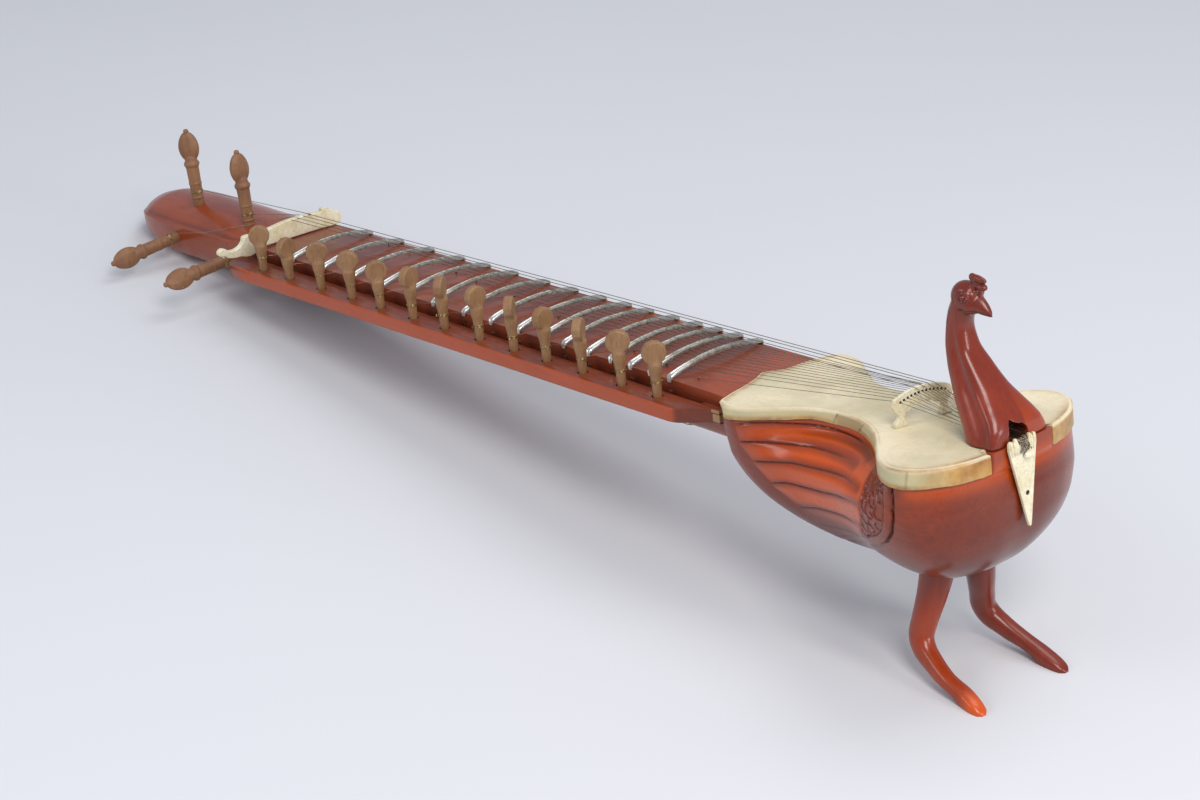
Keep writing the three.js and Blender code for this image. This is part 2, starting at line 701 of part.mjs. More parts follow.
// legs
for (const [name, s, toe] of [["leg_near", -1, 0.93], ["leg_far", 1, 1]]) {
  const PATH = [
    [231, 16, -82, 12.6, 11], [230, 18, -96, 12.8, 10.6], [227.5, 22.5, -113, 11, 9.4],
    [223.5, 28, -129, 9.4, 8.6], [221.8, 31.2, -141, 9.2, 8.2], [225.6, 33.3, -148.6, 8.8, 7.8],
    [236, 35.8, -155.6, 6.8, 6.8], [251, 38.6, -163.8, 6.2, 6.4], [265, 40.8 * toe, -171.2, 6.2, 6.8],
    [276, 42 * toe, -176, 4.8, 6], [282.6, 42.4 * toe, -178.4, 2.2, 3.6],
  ];
  const n = 14;
  const c = PATH.map(([u, v, w]) => new THREE.Vector3(u, s * v, w));
  const leg = loft(n, PATH.length - 1, (t, j) => {
    const along = c[Math.min(c.length - 1, j + 1)].clone().sub(c[Math.max(0, j - 1)]).normalize();
    const side = new THREE.Vector3(0, 1, 0).addScaledVector(along, -along.y).normalize();
    const front = new THREE.Vector3().crossVectors(side, along);
    return Array.from({ length: n }, (_, k) => {
      const a = (2 * Math.PI * k) / n;
      return c[j]
        .clone()
        .addScaledVector(front, PATH[j][3] * Math.cos(a))
        .addScaledVector(side, PATH[j][4] * Math.sin(a));
    });
  });
  add(name, leg.subtract(hull(0.35, 1, 0.35)).subtract(floorSlab), wood());
}

// small pegs: a tapered shaft in the rail, a shoulder, and a flat round head
PEGS.forEach((u, i) => {
  const shaft = turned(
    [[0, -14], [2.9, -14], [3.7, 0], [3.9, 12], [4.7, 15.5], [4.9, 20], [4.3, 23], [0, 23]],
    12,
  );
  const disc = new THREE.CylinderGeometry(9.3, 9.3, 7, 12);
  disc.rotateX(Math.PI / 2);
  const flatHead = solid(disc.rotateY(0)); // axis now along z
  const head = flatHead
    .transform(Array.from(new THREE.Matrix4().makeRotationY(Math.PI / 2).elements))
    .translate([0, 0, 30.5]);
  const turn = -rad(FACE) + rad(PEG_TURN[i]);
  add(
    "peg_" + String(i + 1).padStart(2, "0"),
    place(shaft.add(head), [u, PEG_V, RAIL_TOP + PEG_SITS[i]], [0, 0, 1], turn),
    pegWood(),
  );
});

// main pegs: a tapered shaft with turned collars, a flattened oval head and a button
for (const [key, m] of Object.entries(MAIN)) {
  const deep = m.dir[2] > 0.5 ? 14 : 19;
  const shaft = turned(
    [
      [0, -deep], [4.6, -deep], [5.2, 0], [5.2, 5], [6, 6], [5.4, 7.4], [5.4, 18], [6.1, 19.2],
      [5.6, 20.6], [5.8, 35], [6.9, 36.4], [6.9, 38.6], [5.2, 40], [3.6, 42], [0, 42],
    ],
    12,
  );
  const head = solid(new THREE.SphereGeometry(1, 12, 8).scale(5.2, 9.8, 13.6).translate(0, 0, 53.6));
  const button = solid(new THREE.SphereGeometry(2.2, 8, 6).translate(0, 0, 67.4));
  // the head's flat face turns with the peg
  const q = m.dir[2] > 0.5 ? -FACE + m.turn : m.turn;
  add("main_peg_" + key, place(shaft.add(head).add(button), m.at, m.dir, rad(q)), pegWood());
}

// low strings: peg, edge of the neck, turning pin, bridge, tunnel, tailpiece
const tail = (v) => [288.1, v + 0.5, 9.1];
PEGS.forEach((u, i) => {
  const { edge, turn } = lanes[i];
  const y = holeY(i);
  const hole = bridgePoint(BRIDGE_V + y, bridgeFoot + bridgeArch(y) - 4.1);
  const low = 0.7 + GAP + STRING_R + 0.15;
  // the last fret holds the strings down on their way to the bridge
  const last = 1.05 + FRET_ARCH * (1 - (turn[1] / NECK_HALF) ** 2) - STRING_R - 0.4;
  const points = [
    [u + 1.2, PEG_V + 5.1, 2.2],
    [edge[0], edge[1] - 0.2, low + 0.1],
    [turn[0] - 1, turn[1] - 0.6, low],
    [turn[0] + 0.8, turn[1], low],
    ...(turn[0] < -8 ? [[3.4, turn[1], last]] : []),
    hole,
    [252, hole[1] * 0.5 + 0.4, 12.4 + (i % 2) * 1.4],
    tail((6 - i) * 1.02),
  ];
  add("low_string_" + String(i + 1).padStart(2, "0"), tube(points, STRING_R), wire());
});

// main strings: peg, nut, bridge, tunnel, tailpiece
const ends = {
  a: [[-674.2, -8.6, 22.6]],
  b: [[-588.2, -11.4, 15.2]],
  c: [[-673.4, -50.5, -6.6], [-626, -44.4, 0.6]],
  d: [[-574.5, -48.5, -6.4], [-566, -43.4, 1.4]],
};
["d", "c", "b", "a"].forEach((key, i) => {
  const v = MAIN_NUT_V[i];
  const vb = MAIN_BRIDGE_V[i];
  const top = bridgeFoot + bridgeArch(vb - BRIDGE_V) + GAP + STRING_R + 0.25;
  const points = [
    ...ends[key],
    [NUT_U - NUT_THICK - 0.5, v, nutTop],
    [NUT_U + 0.5, v, nutTop],
    bridgePoint(vb, top),
    [252, vb * 0.6 + 1.5, 17.4],
    tail([-7.6, -7.9, 7.4, 7.9][i] * 0.96 + (i % 2) * 0.2).map((x, k) => (k === 2 ? 10.6 + (i % 2) * 1.1 : x)),
  ];
  add("main_string_" + (i + 1), tube(points, STRING_R), wire());
});

export default root;
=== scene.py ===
"""A mayuri, or taus: a bowed lute with tied frets, carved as a peacock on two legs."""
import math

import bmesh
import bpy
import numpy as np
from mathutils import Matrix, Vector

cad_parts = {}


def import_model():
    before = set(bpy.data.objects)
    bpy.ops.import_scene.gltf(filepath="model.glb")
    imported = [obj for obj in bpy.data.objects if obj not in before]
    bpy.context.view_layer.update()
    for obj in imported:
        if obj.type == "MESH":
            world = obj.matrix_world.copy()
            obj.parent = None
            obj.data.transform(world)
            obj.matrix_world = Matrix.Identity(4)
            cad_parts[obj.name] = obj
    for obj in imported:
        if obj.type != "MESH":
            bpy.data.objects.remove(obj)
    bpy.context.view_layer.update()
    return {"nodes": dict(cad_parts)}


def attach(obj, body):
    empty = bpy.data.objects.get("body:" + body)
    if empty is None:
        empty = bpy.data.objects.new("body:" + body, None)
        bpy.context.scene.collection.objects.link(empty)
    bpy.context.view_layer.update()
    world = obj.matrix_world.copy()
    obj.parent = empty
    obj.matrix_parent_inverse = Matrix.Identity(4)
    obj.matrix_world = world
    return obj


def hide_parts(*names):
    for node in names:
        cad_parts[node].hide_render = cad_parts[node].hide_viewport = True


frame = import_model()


RNG = np.random.default_rng(7)

# ------------------------------------------------------------------ shared geometry
TILT = math.radians(8.31)
CT, ST = math.cos(TILT), math.sin(TILT)
SHIFT = np.array([228.14, 16.04, 135.5])


def world(P):
    """Instrument frame in millimetres to the row frame in metres."""
    P = np.asarray(P, float).reshape(-1, 3)
    return np.column_stack([
        P[:, 0] * CT - P[:, 2] * ST + SHIFT[0],
        P[:, 1] + SHIFT[1],
        P[:, 0] * ST + P[:, 2] * CT + SHIFT[2]]) / 1000.0


def pchip(x, y, q):
    """Smooth monotone curve through the rows."""
    x, y, q = np.asarray(x, float), np.asarray(y, float), np.asarray(q, float)
    h = np.diff(x)
    d = np.diff(y) / h
    m = np.zeros_like(y)
    for i in range(1, len(x) - 1):
        if d[i - 1] * d[i] > 0:
            w1, w2 = 2 * h[i] + h[i - 1], h[i] + 2 * h[i - 1]
            m[i] = (w1 + w2) / (w1 / d[i - 1] + w2 / d[i])
    m[0], m[-1] = d[0], d[-1]
    k = np.clip(np.searchsorted(x, q) - 1, 0, len(x) - 2)
    t = np.clip((q - x[k]) / h[k], 0, 1)
    return ((2 * t**3 - 3 * t**2 + 1) * y[k] + (t**3 - 2 * t**2 + t) * h[k] * m[k]
            + (-2 * t**3 + 3 * t**2) * y[k + 1] + (t**3 - t**2) * h[k] * m[k + 1])


def catmull(P, per, closed=False):
    """Centripetal Catmull-Rom through points P, per samples a span."""
    P = np.asarray(P, float)
    n = len(P)
    out = []
    spans = n if closed else n - 1
    for i in range(spans):
        if closed:
            p0, p1, p2, p3 = P[(i - 1) % n], P[i], P[(i + 1) % n], P[(i + 2) % n]
        else:
            p1, p2 = P[i], P[i + 1]
            p0 = P[i - 1] if i > 0 else 2 * p1 - p2
            p3 = P[i + 2] if i + 2 < n else 2 * p2 - p1
        t0 = 0.0
        t1 = t0 + max(1e-4, np.linalg.norm(p1 - p0) ** 0.5)
        t2 = t1 + max(1e-4, np.linalg.norm(p2 - p1) ** 0.5)
        t3 = t2 + max(1e-4, np.linalg.norm(p3 - p2) ** 0.5)
        for k in range(per):
            t = t1 + (t2 - t1) * k / per
            a1 = (t1 - t) / (t1 - t0) * p0 + (t - t0) / (t1 - t0) * p1
            a2 = (t2 - t) / (t2 - t1) * p1 + (t - t1) / (t2 - t1) * p2
            a3 = (t3 - t) / (t3 - t2) * p2 + (t - t2) / (t3 - t2) * p3
            b1 = (t2 - t) / (t2 - t0) * a1 + (t - t0) / (t2 - t0) * a2
            b2 = (t3 - t) / (t3 - t1) * a2 + (t - t1) / (t3 - t1) * a3
            out.append((t2 - t) / (t2 - t1) * b1 + (t - t1) / (t2 - t1) * b2)
    if not closed:
        out.append(P[-1])
    return np.array(out)


def skin_top(u):
    return 2.5 + 0.0189 * (np.asarray(u, float) - 60)


PLAN_TOP = [
    [58, 0], [58, 22], [58.5, 44], [64, 56], [76, 60.5], [92, 56.5], [110, 44],
    [130, 31.5], [152, 27], [175, 29.5], [196, 40], [216, 58], [233, 73.5], [248, 79.5],
    [262, 76.5], [275, 65], [284, 48], [288, 28], [288, 0]]
PLAN_FULL = [
    [58, 0], [58, 20], [59, 40], [64, 51], [76, 56], [92, 57], [110, 56], [130, 55],
    [152, 56], [175, 60], [196, 67], [216, 74], [233, 78.5], [248, 79], [262, 75.5],
    [275, 65], [284, 47], [289, 25], [289.5, 0]]
HULL = np.array([
    [1.5, 0, 1, 1, 1], [14.4, 0, 1, 1, 1], [20, 0.3, 1, 1, 1], [28, 0.72, 1, 1, 1],
    [38, 1, 0.99, 1.005, 0.995], [52, 1, 0.935, 1.0, 0.95], [66, 1, 0.83, 0.965, 0.87],
    [79, 1, 0.69, 0.895, 0.75], [90, 1, 0.525, 0.785, 0.59], [98, 1, 0.36, 0.63, 0.42],
    [103.5, 1, 0.2, 0.42, 0.24], [106, 1, 0.07, 0.14, 0.07]])
KEEL_U = 200.0


def fuller(u):
    return 1 + 0.07 * np.clip((np.asarray(u, float) - 160) / 60, 0, 1)


def closed_plan(half, per):
    half = np.array(half, float)
    up = half.copy()
    up[:, 1] *= fuller(half[:, 0])
    low = half[1:-1][::-1].copy()
    low[:, 1] *= -1
    return catmull(np.vstack([up, low]), per, closed=True)


def outwards(plan, by):
    """The plan moved by that much outwards. Its points run from +v round to -v."""
    a = np.roll(plan, 1, axis=0)
    b = np.roll(plan, -1, axis=0)
    d = b - a
    l = np.maximum(np.hypot(d[:, 0], d[:, 1]), 1e-9)
    return plan + np.column_stack([-d[:, 1] / l, d[:, 0] / l]) * by


PER = 20
plan_top, plan_full = closed_plan(PLAN_TOP, PER), closed_plan(PLAN_FULL, PER)


def hull_rows(steps):
    """The hull's table read at steps+1 places, evenly along the rows."""
    j = np.arange(len(HULL), dtype=float)
    q = np.linspace(0, len(HULL) - 1, steps + 1)
    return np.column_stack([pchip(j, HULL[:, c], q) for c in range(5)])


def hull_rings(by, steps):
    t, f = outwards(plan_top, by - 1.5), outwards(plan_full, by)
    rings = []
    for depth, full, rear, front, across in hull_rows(steps):
        p = t * (1 - full) + f * full
        u = KEEL_U + (p[:, 0] - KEEL_U) * np.where(p[:, 0] < KEEL_U, rear, front)
        v = p[:, 1] * across
        rings.append(np.column_stack([u, v, skin_top(u) - depth]))
    return np.array(rings)


# ------------------------------------------------------------------------ materials
def srgb(r, g, b):
    return tuple(((c / 255) / 12.92 if c / 255 <= 0.04045 else ((c / 255 + 0.055) / 1.055) ** 2.4)
                 for c in (r, g, b)) + (1.0,)


class Mat:
    """A node material, built from procedural textures in the object's own coordinates."""

    def __init__(self, name, **sockets):
        self.m = bpy.data.materials.new(name)
        self.m.use_nodes = True
        self.t = self.m.node_tree
        self.t.nodes.clear()
        self.out = self.add("ShaderNodeOutputMaterial")
        self.b = self.add("ShaderNodeBsdfPrincipled")
        self.t.links.new(self.b.outputs[0], self.out.inputs["Surface"])
        self.co = self.add("ShaderNodeTexCoord").outputs["Object"]
        for k, v in sockets.items():
            self.b.inputs[k.replace("_", " ")].default_value = v

    def add(self, kind, **props):
        n = self.t.nodes.new(kind)
        for k, v in props.items():
            setattr(n, k, v)
        return n

    def link(self, a, b):
        self.t.links.new(a, b)

    def put(self, socket, value):
        self.link(value, self.b.inputs[socket])

    def coords(self, stretch=(1, 1, 1), turn=(0, 0, 0)):
        m = self.add("ShaderNodeMapping")
        self.link(self.co, m.inputs["Vector"])
        m.inputs["Scale"].default_value = stretch
        m.inputs["Rotation"].default_value = turn
        return m.outputs["Vector"]

    def noise(self, scale, detail=4.0, rough=0.55, stretch=(1, 1, 1), turn=(0, 0, 0), bend=0.0):
        n = self.add("ShaderNodeTexNoise")
        self.link(self.coords(stretch, turn), n.inputs["Vector"])
        n.inputs["Scale"].default_value = scale
        n.inputs["Detail"].default_value = detail
        n.inputs["Roughness"].default_value = rough
        n.inputs["Distortion"].default_value = bend
        return n.outputs["Fac"]

    def cells(self, scale, stretch=(1, 1, 1), feature="DISTANCE_TO_EDGE"):
        n = self.add("ShaderNodeTexVoronoi", feature=feature)
        self.link(self.coords(stretch), n.inputs["Vector"])
        n.inputs["Scale"].default_value = scale
        return n.outputs["Distance"]

    def attr(self, name):
        return self.add("ShaderNodeAttribute", attribute_name=name).outputs["Fac"]

    def ramp(self, fac, *stops):
        n = self.add("ShaderNodeValToRGB")
        e = n.color_ramp.elements
        while len(e) < len(stops):
            e.new(0.5)
        for el, (p, c) in zip(e, stops):
            el.position = p
            el.color = c if hasattr(c, "__len__") else (c, c, c, 1)
        self.link(fac, n.inputs["Fac"])
        return n.outputs["Color"]

    def mix(self, fac, a, b, mode="MIX"):
        n = self.add("ShaderNodeMix", data_type="RGBA", blend_type=mode)
        for s, v in ((n.inputs[0], fac), (n.inputs[6], a), (n.inputs[7], b)):
            if hasattr(v, "is_output"):
                self.link(v, s)
            else:
                s.default_value = v
        return n.outputs[2]

    def math(self, op, a, b=0.0, clamp=False):
        n = self.add("ShaderNodeMath", operation=op, use_clamp=clamp)
        for s, v in ((n.inputs[0], a), (n.inputs[1], b)):
            if hasattr(v, "is_output"):
                self.link(v, s)
            else:
                s.default_value = v
        return n.outputs[0]

    def bumps(self, *heights):
        """(height, strength, distance in metres), the last on top of the first."""
        last = None
        for h, strength, distance in heights:
            n = self.add("ShaderNodeBump")
            n.inputs["Strength"].default_value = strength
            n.inputs["Distance"].default_value = distance
            self.link(h, n.inputs["Height"])
            if last is not None:
                self.link(last, n.inputs["Normal"])
            last = n.outputs["Normal"]
        self.put("Normal", last)


def wood(name, dark, mid, light, along=(1, 0, 0), rough=(0.2, 0.36), coat=0.5, tone=True,
         grain=1.0, wear=0.25):
    """Varnished hardwood. Its grain runs along one axis. The attribute tone moves the
    colour from dark, at -1, to orange, at 1, and in places also paints shade. A second
    attribute darkens carved lines with dirt and old varnish, and paints shade into holes,
    the tunnel, undersides and the soles."""
    m = Mat(name, Coat_Weight=coat, Coat_Roughness=0.16, Coat_IOR=1.4, IOR=1.4)
    fine = tuple(14.0 if a else 260.0 for a in along)
    broad = tuple(5.0 if a else 34.0 for a in along)
    streak = m.noise(1.0, 5.0, 0.6, fine, bend=0.4)
    figure = m.noise(1.0, 4.0, 0.55, broad, bend=0.8)
    cloud = m.noise(9.0, 3.0, 0.5)
    fleck = m.noise(420.0, 2.0, 0.6)
    base = m.mix(m.ramp(figure, (0.32, 0), (0.68, 1)), mid, light)
    base = m.mix(m.ramp(cloud, (0.4, 0.0), (0.7, 0.55)), base, dark)
    base = m.mix(m.math("MULTIPLY", m.ramp(streak, (0.42, 0.0), (0.62, 1.0)), 0.34 * grain), base, dark)
    if tone:
        t = m.attr("tone")
        base = m.mix(m.math("MULTIPLY", m.math("MAXIMUM", t, 0.0), 0.9, True), base, srgb(208, 82, 8))
        base = m.mix(m.math("MULTIPLY", m.math("MAXIMUM", m.math("MULTIPLY", t, -1.0), 0.0), 0.85, True),
                     base, srgb(66, 20, 12))
        base = m.mix(m.math("MULTIPLY", m.ramp(fleck, (0.62, 0.0), (0.78, 1.0)), 0.3), base, dark)
        # dark marks from the attribute: dirt and old varnish in carved lines, painted shade in holes, the tunnel,
        # undersides and the soles
        base = m.mix(m.math("MULTIPLY", m.attr("dirt_and_shade"), 0.93, True), base, srgb(44, 18, 14))
    edge = m.add("ShaderNodeNewGeometry").outputs["Pointiness"]
    base = m.mix(m.math("MULTIPLY", m.ramp(edge, (0.53, 0.0), (0.62, 1.0)), wear * 0.5), base, srgb(190, 86, 26))
    # painted shade, with some dirt, in concave hollows
    base = m.mix(m.math("MULTIPLY", m.ramp(edge, (0.38, 1.0), (0.47, 0.0)), 0.55), base, srgb(52, 20, 14))
    m.put("Base Color", base)
    r = m.mix(m.ramp(m.noise(34.0, 5.0, 0.62), (0.3, 0.0), (0.7, 1.0)), (rough[0],) * 3 + (1,), (rough[1],) * 3 + (1,))
    m.put("Roughness", r)
    m.bumps((streak, 0.16 * grain, 0.0004), (m.noise(38.0, 2.0, 0.45), 0.12, 0.0008),
            (m.noise(900.0, 2.0, 0.5), 0.05, 0.0002))
    return m.m


def bare_wood(name, dark, mid, light):
    m = Mat(name, IOR=1.42, Coat_Weight=0.06, Coat_Roughness=0.4)
    streak = m.noise(1.0, 5.0, 0.65, (300, 300, 26), bend=0.6)
    cloud = m.noise(46.0, 4.0, 0.55)
    base = m.mix(m.ramp(cloud, (0.34, 0), (0.66, 1)), mid, light)
    base = m.mix(m.math("MULTIPLY", m.ramp(streak, (0.4, 0.0), (0.7, 1.0)), 0.32), base, dark)
    pores = m.noise(1.0, 2.0, 0.5, (1500, 1500, 120))
    base = m.mix(m.math("MULTIPLY", m.ramp(pores, (0.6, 0.0), (0.72, 1.0)), 0.5), base, srgb(62, 38, 24))
    edge = m.add("ShaderNodeNewGeometry").outputs["Pointiness"]
    base = m.mix(m.math("MULTIPLY", m.ramp(edge, (0.52, 0.0), (0.6, 1.0)), 0.4), base, srgb(196, 160, 110))
    # painted shade, with some dirt, in concave hollows
    base = m.mix(m.math("MULTIPLY", m.ramp(edge, (0.4, 1.0), (0.48, 0.0)), 0.6), base, srgb(60, 36, 24))
    m.put("Base Color", base)
    m.put("Roughness", m.ramp(m.noise(90.0, 4.0, 0.6), (0.3, 0.46), (0.7, 0.66)))
    m.bumps((streak, 0.25, 0.0003), (pores, 0.15, 0.0001), (m.noise(160.0, 3.0, 0.5), 0.2, 0.0003))
    return m.m


def ivory_mat(name):
    m = Mat(name, Subsurface_Weight=0.18, Subsurface_Scale=0.003, IOR=1.54, Coat_Weight=0.12, Coat_Roughness=0.25)
    m.b.inputs["Subsurface Radius"].default_value = (1.0, 0.7, 0.4)
    cloud = m.noise(60.0, 5.0, 0.6)
    lines = m.noise(1.0, 4.0, 0.6, (60, 420, 420), bend=0.5)
    base = m.mix(m.ramp(cloud, (0.3, 0), (0.7, 1)), srgb(238, 231, 205), srgb(214, 200, 158))
    base = m.mix(m.math("MULTIPLY", m.ramp(lines, (0.5, 0.0), (0.7, 1.0)), 0.35), base, srgb(170, 140, 92))
    crack = m.cells(150.0, (1, 2.6, 1))
    base = m.mix(m.math("MULTIPLY", m.ramp(crack, (0.0, 1.0), (0.03, 0.0)), 0.28), base, srgb(120, 92, 60))
    edge = m.add("ShaderNodeNewGeometry").outputs["Pointiness"]
    # painted shade, with some dirt, in concave hollows
    base = m.mix(m.math("MULTIPLY", m.ramp(edge, (0.4, 1.0), (0.49, 0.0)), 0.75), base, srgb(84, 58, 34))
    # dark marks from the attribute: string slots on the nut, painted shade in the holes
    base = m.mix(m.math("MULTIPLY", m.attr("dirt_and_shade"), 0.9, True), base, srgb(50, 36, 24))
    m.put("Base Color", base)
    m.put("Roughness", m.ramp(m.noise(140.0, 4.0, 0.6), (0.3, 0.3), (0.7, 0.48)))
    m.bumps((lines, 0.12, 0.0002), (m.noise(220.0, 3.0, 0.5), 0.18, 0.0003))
    return m.m


def skin_mat(name):
    """Parchment. The attribute stain brings the amber glue border and the yellowing
    towards the front, patch a browner strip, seam the dark line between strips and
    skirt the yellower sides."""
    m = Mat(name, Subsurface_Weight=0.12, Subsurface_Scale=0.002, IOR=1.45, Coat_Weight=0.1, Coat_Roughness=0.35)
    cloud = m.noise(17.0, 4.0, 0.55)
    fine = m.noise(150.0, 5.0, 0.65)
    veins = m.noise(30.0, 6.0, 0.7, bend=1.4)
    base = m.mix(m.ramp(cloud, (0.36, 0), (0.64, 1)), srgb(238, 222, 188), srgb(206, 193, 156))
    base = m.mix(m.math("MULTIPLY", m.ramp(veins, (0.47, 0.0), (0.5, 1.0), (0.53, 0.0)), 0.22), base, srgb(178, 168, 130))
    base = m.mix(m.math("MULTIPLY", m.ramp(fine, (0.4, 0.0), (0.75, 1.0)), 0.3), base, srgb(214, 204, 168))
    rag = m.math("MULTIPLY", m.attr("stain"), m.ramp(m.noise(75.0, 5.0, 0.65), (0.3, 0.5), (0.62, 1.0)), True)
    base = m.mix(m.math("MULTIPLY", m.attr("skirt"), 0.85, True), base, m.mix(m.ramp(m.noise(26.0, 4.0, 0.6), (0.35, 0), (0.65, 1)), srgb(206, 188, 134), srgb(178, 172, 132)))
    base = m.mix(rag, base, m.mix(m.ramp(m.noise(48.0, 4.0, 0.6), (0.35, 0), (0.65, 1)), srgb(190, 138, 58), srgb(140, 82, 26)))
    base = m.mix(m.math("MULTIPLY", m.attr("patch"), 0.75, True), base, srgb(170, 142, 92))
    base = m.mix(m.math("MULTIPLY", m.attr("seam"), 0.9, True), base, srgb(74, 44, 22))
    m.put("Base Color", base)
    m.put("Roughness", m.ramp(m.noise(60.0, 4.0, 0.6), (0.3, 0.36), (0.7, 0.56)))
    m.bumps((cloud, 0.3, 0.0016), (m.noise(85.0, 4.0, 0.6), 0.3, 0.0006), (fine, 0.2, 0.0002))
    return m.m


def metal(name, dark, light, rough=(0.22, 0.5), scale=160.0, stretch=(1, 1, 1), painted_highlight=None):
    m = Mat(name, Metallic=1.0)
    n = m.noise(scale, 6.0, 0.68, stretch)
    base = m.ramp(n, (0.34, dark), (0.66, light))
    spots = m.noise(scale * 3.1, 3.0, 0.6)
    base = m.mix(m.math("MULTIPLY", m.ramp(spots, (0.56, 0.0), (0.7, 1.0)), 0.5), base, dark)
    edge = m.add("ShaderNodeNewGeometry").outputs["Pointiness"]
    base = m.mix(m.math("MULTIPLY", m.ramp(edge, (0.52, 0.0), (0.58, 1.0)), 0.7), base, light)
    # painted highlight on the fret ends
    if painted_highlight is not None:
        base = m.mix(m.attr("painted_highlight"), base, painted_highlight)
    m.put("Base Color", base)
    m.put("Roughness", m.ramp(m.noise(scale * 1.3, 5.0, 0.6), (0.3, rough[0]), (0.7, rough[1])))
    m.bumps((n, 0.35, 0.0003), (spots, 0.2, 0.0001))
    return m.m


WOOD_X = wood("carved_wood_long", srgb(82, 24, 8), srgb(124, 42, 10), srgb(142, 52, 12), (1, 0, 0), rough=(0.24, 0.36), grain=0.8)
WOOD_Z = wood("carved_wood_upright", srgb(86, 22, 8), srgb(128, 38, 10), srgb(148, 48, 12), (0, 0, 1),
              rough=(0.24, 0.36), coat=0.6, grain=0.7)
NECK_W = wood("neck_wood_stained", srgb(88, 30, 16), srgb(138, 58, 28), srgb(158, 74, 36), (1, 0, 0),
              rough=(0.26, 0.42), coat=0.4)
RAIL_W = wood("rail_wood", srgb(92, 36, 18), srgb(134, 58, 30), srgb(150, 70, 36), (1, 0, 0),
              rough=(0.28, 0.44), coat=0.35)
PEG_W = bare_wood("peg_wood_bare", srgb(94, 64, 42), srgb(138, 100, 66), srgb(154, 117, 80))
MAIN_W = bare_wood("main_peg_wood_bare", srgb(84, 52, 36), srgb(128, 86, 60), srgb(146, 104, 70))
IVORY = ivory_mat("ivory_old")
SKIN = skin_mat("parchment")
FRET = metal("fret_tarnished", srgb(104, 99, 90), srgb(186, 181, 168), (0.26, 0.46), 230.0, (0.6, 1.6, 1), painted_highlight=srgb(236, 235, 228))
WIRE = metal("wire_tarnished", srgb(92, 80, 68), srgb(150, 138, 120), (0.3, 0.5), 400.0)
BRASS = metal("wire_gilt", srgb(104, 80, 50), srgb(176, 150, 104), (0.2, 0.42), 500.0)


# ---------------------------------------------------------------------- mesh tools
def make(name, V, F, material, body=None, nodes=(), attrs=None, smooth=True,
         metres=False, mats=None, which=None):
    P = np.asarray(V, float).reshape(-1, 3) if metres else world(V)
    me = bpy.data.meshes.new(name)
    me.from_pydata(P.tolist(), [], [list(map(int, f)) for f in F])
    me.validate()
    me.update()
    for k, a in (attrs or {}).items():
        at = me.attributes.new(k, "FLOAT", "POINT")
        at.data.foreach_set("value", np.asarray(a, np.float32).ravel())
    ob = bpy.data.objects.new(name, me)
    bpy.context.scene.collection.objects.link(ob)
    me.materials.append(material)
    outward(ob)
    if smooth:
        shade(ob)
    if body:
        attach(ob, body)
    if nodes:
        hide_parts(*nodes)
    return ob


def outward(ob):
    bm = bmesh.new()
    bm.from_mesh(ob.data)
    bmesh.ops.recalc_face_normals(bm, faces=bm.faces)
    bm.to_mesh(ob.data)
    bm.free()


def shade(ob, degrees=35):
    me = ob.data
    me.polygons.foreach_set("use_smooth", [True] * len(me.polygons))
    bm = bmesh.new()
    bm.from_mesh(me)
    for e in bm.edges:
        if len(e.link_faces) == 2 and e.calc_face_angle(0) > math.radians(degrees):
            e.smooth = False
    bm.to_mesh(me)
    bm.free()


def grid(rings, caps=(True, True)):
    """Closed rings of the same number of points, joined in order."""
    R = np.asarray(rings, float)
    M, N, _ = R.shape
    V = R.reshape(-1, 3)
    i = np.arange(N)
    F = []
    for j in range(M - 1):
        a, b = j * N + i, j * N + (i + 1) % N
        F.extend(np.column_stack([a, b, b + N, a + N]).tolist())
    extra = []
    for end, on in ((0, caps[0]), (M - 1, caps[1])):
        if on:
            c = len(V) + len(extra)
            extra.append(R[end].mean(0))
            a, b = end * N + i, end * N + (i + 1) % N
            F.extend(np.column_stack([a, b, np.full(N, c)]).tolist())
    if extra:
        V = np.vstack([V, extra])
    return V, F


def join(*parts):
    V, F, k = [], [], 0
    for v, f in parts:
        V.append(np.asarray(v, float))
        F.extend([[i + k for i in face] for face in f])
        k += len(v)
    return np.vstack(V), F


def tube(P, r, n=10, ends=True):
    P = np.asarray(P, float)
    r = np.broadcast_to(np.asarray(r, float), (len(P),))
    d = np.gradient(P, axis=0)
    d /= np.maximum(np.linalg.norm(d, axis=1, keepdims=True), 1e-9)
    ref = np.array([0.0, 0.0, 1.0]) if abs(d[0][2]) < 0.8 else np.array([1.0, 0.0, 0.0])
    s = np.cross(d[0], ref)
    s /= np.linalg.norm(s)
    rings = []
    for p, t, q in zip(P, d, r):
        s = s - t * np.dot(s, t)
        s /= max(np.linalg.norm(s), 1e-9)
        b = np.cross(t, s)
        a = np.linspace(0, 2 * np.pi, n, endpoint=False)
        rings.append(p + q * (np.cos(a)[:, None] * s + np.sin(a)[:, None] * b))
    return grid(rings, (ends, ends))


def lathe(profile, n=40):
    """[radius, along] points turned about +z."""
    pr = np.asarray(profile, float)
    a = np.linspace(0, 2 * np.pi, n, endpoint=False)
    rings = [np.column_stack([r * np.cos(a), r * np.sin(a), np.full(n, z)]) for r, z in pr]
    return grid(rings)


def placer(at, direction, angle=0.0):
    d = Vector(direction).normalized()
    q = Vector((0, 0, 1)).rotation_difference(d)
    return Matrix.Translation(Vector(at)) @ q.to_matrix().to_4x4() @ Matrix.Rotation(angle, 4, "Z")


def moved(part, m):
    V, F = part
    A = np.array(m)
    return np.asarray(V, float) @ A[:3, :3].T + A[:3, 3], F


